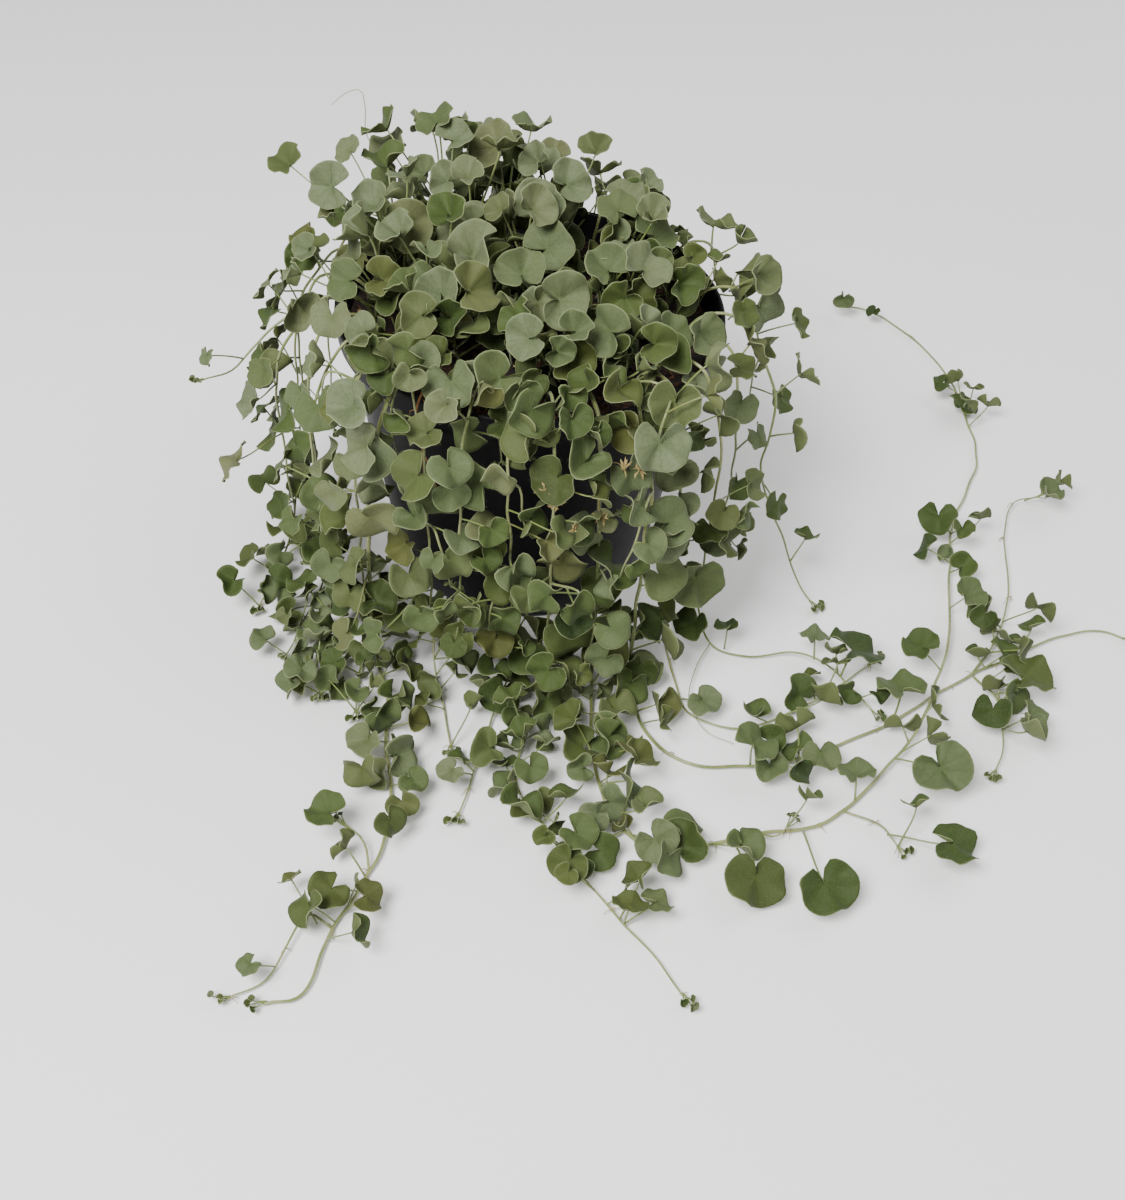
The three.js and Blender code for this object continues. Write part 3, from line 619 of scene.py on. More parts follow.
def ruled_leaf(stem, root, turn, draw):
    posture = "upright" if stem["upright"] else posture_at(root[2])
    length = mix(*(CREEPING_STALK if posture == "creeping" else stem["stalk"]), draw[2])
    towards_tip = 0 if stem["upright"] else (turn + 0.5) / stem["count"]
    width = mix(*stem["width"], draw[1]) * (1 - TIP_SHRINK * towards_tip ** 2)
    return held_leaf(root, posture, turn, length, width, draw)


def placed_leaf(root, entry, upright, draw):
    x, y, z, width = entry
    middle = np.array([x, y, z], float)
    away = middle - root
    posture = "upright" if upright else posture_at(z)
    spin = math.atan2(away[1], away[0]) + (draw[0] - 0.5) * TIP_JITTER
    leaf = finish_leaf({"root": root, "width": width}, posture, compass_at(middle, spin), draw)
    leaf["seat"] = middle - leaf["x"] * MIDDLE_SHARE * width
    return leaf


# A blade's outline about its stalk, how steeply it rises there, and points of its surface
def edge_radius(angle, width, sinus=SINUS_RADIUS, spread=SINUS_SPREAD):
    shift = SEAT_SHIFT * np.cos(angle) + np.sqrt(ROUND_RADIUS ** 2 - (SEAT_SHIFT * np.sin(angle)) ** 2)
    lobe = mix(sinus, 1, smoothstep(math.pi - np.abs(angle), *spread))
    dent = 1 - TIP_DENT * np.exp(-((angle / TIP_DENT_SPREAD) ** 2))
    return width * shift * lobe * dent


def fine_edge(angle, width):
    """The fine blade's edge: broader than long, with lobes that nearly meet over the notch."""
    broad = 1 + FINE_BROADER * np.sin(angle) ** 2
    short = FINE_SHORTER * np.exp(-((angle / FINE_SHORTER_SPREAD) ** 2))
    return edge_radius(angle, width, FINE_SINUS, FINE_SPREAD) * (broad - short)


def blade_rise(leaf, angle):
    bend = leaf["fold"] * (1 - np.cos(angle)) / 2
    return leaf["cone"] + bend + leaf["wave"] * np.sin(WAVES * angle + leaf["phase"])


def on_blade(leaf, radius, angle, lift=0.0, share=1.0):
    """Points of the blade at arrays of radius and angle about the stalk."""
    rise = blade_rise(leaf, angle)
    hollow = leaf.get("hollow", 0.0) * leaf["width"] * share * (1 - share)
    reached = radius * np.cos(rise) - lift * np.sin(rise)
    height = radius * np.sin(rise) + lift * np.cos(rise) - hollow
    flat = np.stack([reached * np.cos(angle), reached * np.sin(angle), height], -1)
    return leaf["seat"] + flat @ np.array([leaf["x"], leaf["y"], leaf["z"]])


# The solids' own leaves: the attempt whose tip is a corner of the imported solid
def solid_corners(node):
    vertices = node.data.vertices
    tree = kdtree.KDTree(len(vertices))
    for i, vertex in enumerate(vertices):
        tree.insert(vertex.co, i)
    tree.balance()
    return tree


def grow_solid_leaf(stem, leaf_at):
    for attempt in range(ATTEMPTS):
        leaf = leaf_at(attempt)
        tip = on_blade(leaf, edge_radius(0.0, leaf["width"]), 0.0, BLADE_THICKNESS / 2)
        if stem["corners"].find(Vector(tip / METRE))[2] < MATCH / METRE:
            stem["leaves"].append({**leaf, "grid": FULL_GRID, "wave": leaf["wave"] * WAVE_KEPT})
            return


def bud_for(stems, entry):
    x, y, z, _ = entry
    target = np.array([x, y, z - (0 if posture_at(z) == "hanging" else BUD_DROP)], float)
    choices = [(np.linalg.norm(bud["point"] - target) + bud["taken"] * BUD_SHARE_COST, stem, bud)
               for stem in stems for bud in stem["buds"]]
    _, stem, bud = min(choices, key=lambda choice: choice[0])
    bud["taken"] += 1
    return stem, bud


def grow_solid_leaves(tufts, trails, nodes):
    for stem in tufts + trails:
        stem["corners"] = solid_corners(nodes[stem["name"]])
    chosen = ((tufts, CROWN_LEAVES, CROWN_SEED), (trails, TRAIL_LEAVES, CURTAIN_SEED))
    for stems, entries, seed in chosen:
        for index, entry in enumerate(entries):
            stem, bud = bud_for(stems, entry)
            grow_solid_leaf(stem, lambda attempt: placed_leaf(
                bud["point"], entry, stem["upright"], draws_for(seed, index, attempt)))
    for stem in tufts + trails:
        buds, count = stem["buds"], stem["count"]
        for index in range(count):
            bud = buds[math.floor((index + 0.5) * len(buds) / count)]
            grow_solid_leaf(stem, lambda attempt: ruled_leaf(
                stem, bud["point"], index, draws_for(stem["seed"], index, attempt)))


# Added leaves, each kept only where it has room
class Crowd:
    """The places already taken by blades and stems."""

    def __init__(self, low, high):
        self.low, self.high = low, high
        self.points = np.zeros((0, 3))

    def add(self, points):
        self.points = np.vstack([self.points, points])

    def has_room(self, points):
        if (points < self.low).any() or (points > self.high).any():
            return False
        away = np.hypot(points[:, 0], points[:, 1])
        over_rim = points[:, 2] > POT_HEIGHT + OVER_POT
        over_mix = (points[:, 2] > SOIL_TOP + OVER_MIX) & (away < RIM_RADIUS - INSIDE_RIM)
        beside = away > outer_radius(points[:, 2]) + OVER_POT
        if not (over_rim | over_mix | beside).all():
            return False
        middle = points.mean(0)
        reach = np.linalg.norm(points - middle, axis=1).max() + ROOM
        near = self.points[(np.abs(self.points - middle) < reach).all(1)]
        if not len(near):
            return True
        return np.linalg.norm(points[:, None] - near[None], axis=2).min() > ROOM


def blade_samples(leaf):
    angle = np.linspace(-SAMPLE_TURN, SAMPLE_TURN, SAMPLES_ROUND)
    edge = fine_edge(angle, leaf["width"])
    rings = [on_blade(leaf, edge * share, angle) for share in SAMPLE_SHARES]
    return np.vstack([leaf["seat"][None], *rings])


def try_filling(stem, crowd, leaf_at, draw):
    for attempt in range(FILL_TRIES):
        draws = [draw() for _ in range(DRAWS)]
        draws[1] = mix(LEAST_SIZE, 1, draws[1]) * (1 - attempt / FILL_TRIES)
        leaf = leaf_at(draws)
        samples = blade_samples(leaf)
        if crowd.has_room(samples):
            crowd.add(samples)
            stem["leaves"].append({**leaf, "grid": SMALL_GRID, "wave": leaf["wave"] * WAVE_KEPT})
            return


def tries_at(root, upright, turn, draw):
    """How many leaves to try at a place: more near the pot's foot, few at its sides."""
    away = np.hypot(root[0], root[1])
    tries, share = 1, 1
    if upright:
        return tries
    if root[2] < HANGING_FROM:
        if PARTING[0] < root[0] < PARTING[1] and root[1] < PARTING_FROM:
            share = PARTING_SHARE
        elif away < NEAR_POT and root[1] < 0 and root[0] < NEAR_SIDE:
            tries = NEAR_TRIES
        elif math.sin(turn / CLUSTER_SPACING) < CLUSTER_LEVEL:
            return 0
    elif abs(root[0]) > THIN_SIDE * away:
        share = THIN_SHARE
    else:
        share = BRIM_SHARE if root[2] > BRIM_HEIGHT else HANGING_SHARE
    return tries if draw() < share else 0


def fill_run(stem, run, crowd, draw, bare, stalk, upright):
    steps = max(2, round(run["route"].length / FILL_STEP))
    points = run["route"].spaced(steps)
    for index in range(bare, steps + 1):
        root = points[index]
        posture = "upright" if upright else posture_at(root[2])
        young = 1 - FILL_TIP_SHRINK * (index / steps) ** 2
        for turn in range(tries_at(root, upright, index + stem["seed"], draw)):
            try_filling(stem, crowd, lambda draws: loose_leaf(
                root, posture, index + FILL_TURN * turn, mix(*stalk, draws[2]),
                mix(*FILL_WIDTH, draws[1]) * young, draws), draw)


def fill_tuft(stem, crowd, draw):
    buds = stem["buds"]
    share = 1 if buds[0]["point"][0] < OPEN_FROM else OPEN_SHARE
    for index in range(round(TUFT_FILL * share)):
        root = buds[index % len(buds)]["point"]
        low, high = (stem["stalk"][1] * share for share in TUFT_FILL_STALK)
        try_filling(stem, crowd, lambda draws: loose_leaf(
            root, "upright", index + 0.5, mix(low, high, draws[2]),
            mix(*TUFT_FILL_WIDTH, draws[1]), draws), draw)


def grow_shoots(stem, draw, low, high):
    """Side shoots that hang from a trailing stem, or creep where it lies on the surface."""
    main = stem["runs"][0]["route"]
    for index in range(SHOOTS):
        start = main.at([mix(*SHOOT_SHARE, draw())])[0]
        compass = compass_at(start, draw() * 2 * math.pi)
        way = compass["along"] * (1 if index % 2 else -1) * mix(*SHOOT_SPREAD, draw())
        length = mix(*SHOOT_LENGTH, draw())
        line = [start]
        for sideways, outward, rise in SHOOT_HANGS if start[2] > HANGING_FROM else SHOOT_CREEPS:
            point = start + length * (way * sideways + compass["out"] * outward + UP * rise)
            line.append(np.clip(point, low + SHOOT_MARGIN, high - SHOOT_MARGIN))
        stem["runs"].append(make_run(line, SHOOT_STEP))


def grow_runners(stem, draw):
    """Thin runners that creep from a tuft over the mix."""
    foot = stem["runs"][0]["route"].at([RUNNER_START])[0]
    edge = RIM_RADIUS - RUNNER_EDGE
    for _ in range(RUNNERS):
        heading, length = draw() * 2 * math.pi, mix(*RUNNER_LENGTH, draw())
        line = [foot]
        for share in (0.33, 0.67, 1):
            heading += draw() - 0.5
            point = line[-1] + length / 3 * level_way(heading)
            point[:2] *= min(1, edge / np.hypot(*point[:2]))
            rise = mix(*RUNNER_RISE, draw()) * math.sin(math.pi * share * 0.8)
            point[2] = SOIL_TOP + RUNNER_HEIGHT + rise
            line.append(point)
        stem["runs"].append(make_run(line, SHOOT_STEP))


def root_points(places):
    """The dry root's points, given as radius, height and degrees from where it crosses the rim."""
    return [polar(radius, ROOT_RIM + sway, z) for radius, z, sway in places]


def fill_plant(tufts, trails, low, high):
    """Runners, shoots and added leaves; the view of the dry root is kept free of leaves."""
    draws = {stem["name"]: seeded(stem["seed"]) for stem in tufts + trails}
    for stem in tufts:
        grow_runners(stem, draws[stem["name"]])
    for stem in trails:
        if abs(math.cos(math.radians(stem["rim"]))) < THIN_SIDE:
            grow_shoots(stem, draws[stem["name"]], low, high)
    crowd = Crowd(low, high)
    for stem in tufts + trails:
        for leaf in stem["leaves"]:
            crowd.add(blade_samples(leaf))
        for run in stem["runs"]:
            crowd.add(run["route"].spaced(max(2, round(run["route"].length / CROWD_STEP))))
    seen = Route(root_points(ROOT_ROUTE)).spaced(SHORT_STEPS)
    for forward in range(*ROOT_CLEARANCE):
        crowd.add(seen + LIGHT * forward + UP * forward * ROOT_VIEW_RISE)
    for stem in tufts:
        draw = draws[stem["name"]]
        fill_tuft(stem, crowd, draw)
        for run in stem["runs"][1:]:
            fill_run(stem, run, crowd, draw, 1, RUNNER_STALK, True)
    for stem in trails:
        for index, run in enumerate(stem["runs"]):
            fill_run(stem, run, crowd, draws[stem["name"]], 1 if index else BARE_START, FILL_STALK, False)


# Meshes
def new_object(name, data):
    made = bpy.data.objects.new(name, data)
    bpy.context.scene.collection.objects.link(made)
    return made


class Maker:
    """Gathers points and faces of one piece, then makes its mesh."""

    def __init__(self):
        self.points, self.faces, self.looks = [], [], []
        self.blade, self.tone = [], []
        self.count = 0

    def add(self, points, faces, look, blade=None, tone=(0, 0, 0)):
        points = np.asarray(points, float)
        self.points.append(points)
        self.faces.extend([[self.count + i for i in face] for face in faces])
        self.looks.extend([look] * len(faces))
        self.blade.append(np.zeros_like(points) if blade is None else blade)
        self.tone.append(np.broadcast_to(np.asarray(tone, float), points.shape))
        self.count += len(points)

    def finish(self, name, looks, node=None, slot=None):
        mesh = bpy.data.meshes.new(name)
        mesh.from_pydata((np.vstack(self.points) / METRE).tolist(), [], self.faces)
        for look in looks:
            mesh.materials.append(look)
        mesh.polygons.foreach_set("material_index", self.looks)
        mesh.shade_smooth()
        for attribute, values in (("blade", self.blade), ("tone", self.tone)):
            layer = mesh.attributes.new(attribute, "FLOAT_VECTOR", "POINT")
            layer.data.foreach_set("vector", np.vstack(values).astype(np.float32).ravel())
        piece = new_object(name, mesh)
        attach(piece, "root")
        if node:
            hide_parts(node)
        return piece


def wiggled(points):
    """Points moved a little by a smooth field, the same for stems and what grows from them."""
    return np.array([
        point + np.array(noise.noise_vector(Vector(point) * WIGGLE_SCALE)) * (WIGGLE, WIGGLE, WIGGLE / 3)
        for point in points])


def add_tube(maker, line, radii, sides, look, tone=(0, 0, 0)):
    """A tapering tube along a line of points, closed at both ends; two radii are spread evenly."""
    line = np.asarray(line, float)
    if len(radii) == 2:
        radii = np.linspace(*radii, len(line))
    ahead = np.gradient(line, axis=0)
    ahead /= np.linalg.norm(ahead, axis=1)[:, None] + 1e-12
    aside = UP if abs(ahead[0][2]) < 0.9 else np.array([1.0, 0, 0])
    side = unit(np.cross(ahead[0], aside))
    angles = np.arange(sides) * 2 * math.pi / sides
    rings = []
    for place, way, radius in zip(line, ahead, radii):
        side = unit(side - way * np.dot(side, way))
        ring = np.cos(angles)[:, None] * side + np.sin(angles)[:, None] * np.cross(way, side)
        rings.append(place + ring * radius)
    points = np.vstack([*rings, line[:1], line[-1:] + ahead[-1:] * radii[-1]])
    maker.add(points, ring_faces(len(line), sides), look, tone=tone)


def ring_faces(rings, sectors):
    """Faces of rings of points one above another, with a point after them to close each end."""
    quads, caps = [], []
    last = (rings - 1) * sectors
    for k in range(sectors):
        m = (k + 1) % sectors
        quads += [[low + k, low + m, low + sectors + m, low + sectors + k] for low in range(0, last, sectors)]
        caps += [[rings * sectors, m, k], [rings * sectors + 1, last + k, last + m]]
    return quads + caps


def grid_faces(rings, sectors):
    """Faces of a disc made of a middle point and rings of points."""
    faces = []
    for k in range(sectors):
        m = (k + 1) % sectors
        faces.append([0, 1 + k, 1 + m])
        for ring in range(rings - 1):
            low, high = 1 + ring * sectors, 1 + (ring + 1) * sectors
            faces.append([low + k, high + k, high + m, low + m])
    return faces


def add_blade(maker, leaf):
    shares, sectors, (few, many) = leaf["grid"]
    shares = np.array(shares)
    angle = -math.pi + np.arange(sectors) * 2 * math.pi / sectors
    edge = fine_edge(angle, leaf["width"])
    wavy = np.sin(few * angle + leaf["phase"]) + np.sin(many * angle - 2 * leaf["phase"]) / 2
    edge = edge * (1 + EDGE_WAVE * wavy)
    radius = np.concatenate([[0], (shares[:, None] * edge).ravel()])
    turn = np.concatenate([[0], np.tile(angle, len(shares))])
    share = np.concatenate([[0], np.repeat(shares, sectors)])
    fold = VEIN_FOLD * leaf["width"] * share * (1 - share ** 4) * np.cos(VEINS * turn)
    ruffle = RUFFLE * share ** 3 * np.concatenate([[0], np.tile(wavy, len(shares))])
    curl = leaf["width"] * (ruffle - RIM_CURL * smoothstep(share, RIM_CURL_FROM, 1.0))
    half = FINE_THICKNESS / 2
    top = on_blade(leaf, radius, turn, half + fold + curl, share)
    low = on_blade(leaf, radius, turn, -half + fold + curl, share)
    count = len(top)
    up_faces = grid_faces(len(shares), sectors)
    low_faces = [[count + i for i in reversed(face)] for face in up_faces]
    rim = 1 + (len(shares) - 1) * sectors
    rim_faces = []
    for k in range(sectors):
        m = (k + 1) % sectors
        rim_faces.append([rim + k, count + rim + k, count + rim + m, rim + m])
    flat = np.stack([radius * np.cos(turn), radius * np.sin(turn), share * leaf["width"]], -1)
    blade = np.vstack([flat, flat]) / leaf["width"]
    tone = np.zeros((2 * count, 3))
    # The silver share; its low end in the crown also carries painted shade.
    tone[:, 0] = leaf["silver"]
    tone[:, 1] = leaf["dry"]
    tone[count:, 2] = 1
    maker.add(np.vstack([top, low]), up_faces + low_faces + rim_faces, LEAF, blade, tone)


def add_stalk(maker, leaf):
    """A stalk that bows up from the stem and comes to the blade from below."""
    root, seat = wiggled([leaf["root"]])[0], leaf["seat"]
    length = np.linalg.norm(seat - root)
    end = seat - leaf["z"] * FINE_THICKNESS
    t = np.linspace(0, 1, STALK_STEPS + 1)[:, None]
    up, under, back = STALK_BOW
    near = root + (seat - root) * STALK_LEAVES_AT + UP * up * length
    far = end - (seat - root) * STALK_ARRIVES_AT - leaf["z"] * under * length + leaf["x"] * back * length
    line = (1 - t) ** 3 * root + 3 * t * (1 - t) ** 2 * near + 3 * t ** 2 * (1 - t) * far + t ** 3 * end
    radii = np.array(STALK_RADIUS) * min(1, STALK_THINNEST + leaf["width"] / STALK_FULL_AT)
    add_tube(maker, line, radii, STALK_SIDES, STEM, (1, leaf["dry"], 0))


def add_hairs(maker, roots, directions, draw):
    """Short flat hairs, each one three-cornered."""
    lengths = draw.uniform(*HAIR_LENGTH, len(roots))[:, None]
    tips = units(directions + draw.normal(0, HAIR_LEAN, roots.shape))
    across = units(np.cross(tips, draw.normal(0, 1, roots.shape))) * HAIR_WIDTH / 2
    points = np.stack([roots - across, roots + across, roots + tips * lengths], 1).reshape(-1, 3)
    maker.add(points, np.arange(len(points)).reshape(-1, 3).tolist(), HAIR)


def hair_leaf(maker, leaf, draw):
    """Hairs that stand out from the rim, and hairs that stand up from the blade."""
    count = int(leaf["width"] * HAIRS_PER_WIDTH)
    angle = draw.uniform(-HAIR_TURN, HAIR_TURN, count)
    edge = fine_edge(angle, leaf["width"])
    outward = np.cos(angle)[:, None] * leaf["x"] + np.sin(angle)[:, None] * leaf["y"]
    curl = -RIM_CURL * leaf["width"]
    add_hairs(maker, on_blade(leaf, edge * 0.99, angle, curl), outward, draw)
    angle = draw.uniform(-HAIR_TURN, HAIR_TURN, count)
    edge = fine_edge(angle, leaf["width"]) * np.sqrt(draw.uniform(0.02, 0.9, count))
    face = np.broadcast_to(leaf["z"] * 0.6, (count, 3)) + draw.normal(0, 0.5, (count, 3))
    add_hairs(maker, on_blade(leaf, edge, angle, FINE_THICKNESS / 2), face, draw)


def add_run(maker, route, thickness, draw):
    """A tapering stem with hairs along it."""
    steps = max(4, round(route.length / STEM_DETAIL))
    line = wiggled(route.spaced(steps))
    share = np.linspace(0, 1, steps + 1)
    radii = mix(*STEM_RADIUS, share ** STEM_TAPER) * thickness
    add_tube(maker, line, radii, STEM_SIDES, STEM)
    picks = draw.uniform(0, steps, int(route.length))
    places = np.stack([np.interp(picks, np.arange(steps + 1), line[:, i]) for i in range(3)], -1)
    outward = units(draw.normal(0, 1, places.shape))
    add_hairs(maker, places + outward * STEM_RADIUS[1] * thickness, outward, draw)


def add_flower(maker, root, place, draw):
    """A dried flower: a thin stalk with a few papery rays."""
    middle = (root + place) / 2 + draw.normal(0, 1, 3)
    add_tube(maker, Route([root, middle, place]).spaced(6), FLOWER_STALK, 4, HUSK)
    for _ in range(FLOWER_RAYS):
        way = unit(draw.normal(0, 1, 3) + UP * 0.3) * draw.uniform(*FLOWER_SIZE)
        bend = draw.normal(0, 0.4, 3)
        add_tube(maker, [place, place + way * 0.5 + bend, place + way], RAY_RADIUS, 4, HUSK)


def add_rootlets(maker, joint, draw):
    """Thin dry roots at a joint that lies on the surface."""
    for _ in range(ROOTLETS):
        heading = draw.uniform(0, 2 * math.pi)
        way = level_way(heading) * draw.uniform(*ROOTLET_LENGTH)
        line = [joint, joint + way * 0.5 + UP * 0.3, joint + way - UP * (joint[2] - 0.4)]
        add_tube(maker, line, ROOTLET_RADIUS, 4, HUSK)


def young_leaves(stem, draw):
    """The folded young leaves at the end of each run."""
    for run in stem["runs"]:
        end, before = wiggled(run["route"].spaced(MIDDLE_STEPS)[[-1, -2]])
        ahead = unit(end - before)
        for index in range(YOUNG_LEAVES):
            side = unit(np.cross(ahead, UP) * (index - 1) + UP * 0.7 + ahead * 0.8)
            width = draw.uniform(*YOUNG_WIDTH)
            seat = end + (side + ahead) * draw.uniform(1.2, 3.0)
            face = unit(UP * 0.8 + side * 0.4 + draw.normal(0, 0.3, 3))
            leaf = {"root": end - ahead, "seat": seat, "width": width, "grid": SMALL_GRID,
                    "cone": 0.5, "fold": 0.7, "wave": 0.1, "phase": 0.0}
            stem["leaves"].append(aim(leaf, face, ahead + side * 0.8))


def set_tones(stem, draw):
    """How silvery, how dry and how hollow each leaf is; those low in the crown are deep green, partly their
    own colour and partly painted shade deep in the crown.
    """
    for leaf in stem["leaves"]:
        x, _, z = leaf["seat"]
        if stem["upright"]:
            # Low in the crown the silver share drops to deep green: partly the leaves' own colour, partly
            # painted shade.
            silver = mix(*CROWN_SILVER_AND_SHADE, smoothstep(z, *CROWN_SILVER_AND_SHADE_RISE))
        else:
            shares = RIGHT_SILVER if x > RIGHT_FROM else CURTAIN_SILVER
            silver = mix(*shares, smoothstep(z, *CURTAIN_SILVER_RISE))
        dry = RIGHT_DRY if x > RIGHT_FROM and z < RIGHT_BELOW else DRY
        leaf["silver"] = float(np.clip(silver + draw.normal(0, SILVER_SPREAD), 0, 1))
        leaf["dry"] = float(np.clip(draw.normal(dry, DRY_SPREAD), 0, 1))
        leaf["hollow"] = draw.uniform(*HOLLOW)


def share_flowers(trails):
    """Gives each dried flower to the trailing stem that passes nearest."""
    for place in FLOWERS:
        lines = [stem["runs"][0]["route"].spaced(LONG_STEPS) for stem in trails]
        away = [np.linalg.norm(line - place, axis=1).min() for line in lines]
        trails[int(np.argmin(away))]["flowers"].append(place)


def make_leafy_stem(stem, looks):
    draw = np.random.default_rng(stem["seed"])
    maker = Maker()
    if not stem["upright"]:
        young_leaves(stem, draw)
    set_tones(stem, draw)
    for index, run in enumerate(stem["runs"]):
        thickness = THICK_STEMS.get(stem["name"], 1) if index == 0 else SIDE_THICKNESS
        add_run(maker, run["route"], thickness, draw)
        for joint in wiggled(run["joints"][1:]):
            if joint[2] < ROOTLETS_BELOW and draw.uniform() < ROOTLET_SHARE:
                add_rootlets(maker, joint, draw)
    main = wiggled(stem["runs"][0]["route"].spaced(LONG_STEPS))
    for place in stem["flowers"]:
        add_flower(maker, nearest(main, place), np.array(place), draw)
    if stem["name"] in THREADS:
        way = THREADS[stem["name"]]
        line = Route([nearest(main, way[0]), *way]).spaced(MIDDLE_STEPS)
        add_tube(maker, line, THREAD_RADIUS, 5, STEM)
    for leaf in stem["leaves"]:
        add_blade(maker, leaf)
        add_stalk(maker, leaf)
        hair_leaf(maker, leaf, draw)
    return maker.finish(f"{stem['name']}_grown", looks, stem["name"], "foliage")


# Materials
class Graph:
    """A material's nodes, built up from the shader backwards."""

    def __init__(self, name, **values):
        self.material = bpy.data.materials.new(name)
        self.material.use_nodes = True
        self.tree = self.material.node_tree
        self.shader = self.tree.nodes["Principled BSDF"]
        for socket, value in values.items():
            self.shader.inputs[socket.replace("_", " ").title().replace("Ior", "IOR")].default_value = value

    def node(self, kind, inputs=None, **settings):
        node = self.tree.nodes.new(f"ShaderNode{kind}")
        for name, value in settings.items():
            setattr(node, name, value)
        for name, value in (inputs or {}).items():
            if isinstance(value, bpy.types.NodeSocket):
                self.tree.links.new(value, node.inputs[name])
            else:
                node.inputs[name].default_value = value
        return node

    def math(self, operation, first, second=0.0):
        return self.node("Math", {0: first, 1: second}, operation=operation).outputs[0]

    def rest(self, value):
        return self.math("SUBTRACT", 1.0, value)

    def ramp(self, value, low, high, smooth=True):
        """0 to 1 as value goes from low to high."""
        kind = "SMOOTHSTEP" if smooth else "LINEAR"
        inputs = {"Value": value, "From Min": low, "From Max": high}
        return self.node("MapRange", inputs, interpolation_type=kind).outputs["Result"]

    def noise(self, scale, detail=4.0, rough=0.55, vector=None):
        inputs = {"Scale": scale, "Detail": detail, "Roughness": rough}
        inputs["Vector"] = vector or self.place()
        return self.node("TexNoise", inputs).outputs["Fac"]

    def place(self):
        return self.node("TexCoord").outputs["Object"]

    def attribute(self, name):
        return self.node("Attribute", attribute_name=name).outputs["Vector"]

    def blend(self, share, first, second):
        return self.node("Mix", {0: share, 6: first, 7: second}, data_type="RGBA").outputs[2]

    def tint(self, body, share, amount, *screen):
        """The body with another colour over it, by a share times an amount."""
        return self.blend(self.math("MULTIPLY", share, amount), body, colour(*screen))

    def finish(self, body, roughness=None, height=None, strength=0.3, distance=0.0005):
        self.tree.links.new(body, self.shader.inputs["Base Color"])
        if roughness is not None:
            self.tree.links.new(roughness, self.shader.inputs["Roughness"])
        if height is not None:
            bump = self.node("Bump", {"Height": height, "Strength": strength, "Distance": distance})
            self.tree.links.new(bump.outputs[0], self.shader.inputs["Normal"])
        return self.material


def colour(red, green, blue):
    """A colour given in screen values, as the shader wants it."""
    return tuple(((c / 255 + 0.055) / 1.055) ** 2.4 for c in (red, green, blue)) + (1.0,)


def leaf_material():
    g = Graph("dichondra_leaf", specular_ior_level=0.25, sheen_weight=0.05, sheen_roughness=0.45)
    g.shader.inputs["Sheen Tint"].default_value = (0.86, 0.9, 0.82, 1)
    blade = g.node("SeparateXYZ", {0: g.attribute("blade")}).outputs
    tone = g.node("SeparateXYZ", {0: g.attribute("tone")}).outputs
    share = blade[2]
    wobble = g.math("MULTIPLY", g.math("SUBTRACT", g.noise(5, vector=g.attribute("blade")), 0.5), 0.5)
    angle = g.math("ADD", g.math("ARCTAN2", blade[1], blade[0]), wobble)
    square = g.math("ADD", g.math("MULTIPLY", blade[0], blade[0]), g.math("MULTIPLY", blade[1], blade[1]))
    radius = g.math("SQRT", square)

    def rays(count, width, start, end):
        turn = g.math("MULTIPLY", angle, count / (2 * math.pi))
        off = g.math("ABSOLUTE", g.math("SUBTRACT", turn, g.math("ROUND", turn)))
        across = g.math("MULTIPLY", g.math("MULTIPLY", off, 2 * math.pi / count), radius)
        line = g.rest(g.ramp(across, width * 0.3, width))
        fade = g.rest(g.ramp(radius, end - 0.15, end))
        return g.math("MULTIPLY", g.math("MULTIPLY", line, fade), g.ramp(radius, start, start + 0.06))

    main = rays(VEINS, 0.016, 0.0, 0.56)
    forks = g.math("MULTIPLY", rays(VEINS * 2, 0.011, 0.2, 0.58), 0.6)
    cells = g.node("TexVoronoi", {"Vector": g.attribute("blade"), "Scale": 17.0},
                   feature="DISTANCE_TO_EDGE").outputs["Distance"]
    net = g.math("MULTIPLY", g.rest(g.ramp(cells, 0.0, 0.09)), 0.35)
    veins = g.math("MAXIMUM", g.math("MAXIMUM", main, forks), net)
    # Deep green at a low silver share; in the crown's depths it is partly painted shade.
    body = g.blend(g.ramp(tone[0], 0.0, 0.5, False), colour(28, 47, 8), colour(62, 77, 32))
    body = g.blend(g.ramp(tone[0], 0.5, 1.0, False), body, colour(98, 108, 79))
    patches = g.ramp(g.noise(9, 5, vector=g.attribute("blade")), 0.35, 0.75)
    body = g.tint(body, patches, 0.35, 66, 78, 31)
    body = g.tint(body, g.rest(g.ramp(share, 0.0, 0.55)), 0.4, 49, 66, 19)
    body = g.tint(body, veins, 0.3, 58, 73, 27)
    fuzz = g.ramp(g.noise(2600, 2, 0.7), 0.5, 0.72)
    body = g.tint(body, fuzz, 0.1, 160, 168, 136)
    body = g.tint(body, tone[1], 0.75, 96, 90, 44)
    body = g.tint(body, tone[2], 0.5, 97, 103, 64)
    # A pale rim: partly the hair fringe's own colour, partly a painted highlight along the edge.
    body = g.tint(body, g.ramp(share, 0.976, 0.998), 0.5, 152, 160, 116)
    rough = g.math("ADD", 0.62, g.math("MULTIPLY", fuzz, 0.2))
    height = g.math("SUBTRACT", g.math("MULTIPLY", fuzz, 0.25), veins)
    return g.finish(body, rough, height, 0.35, 0.0003)


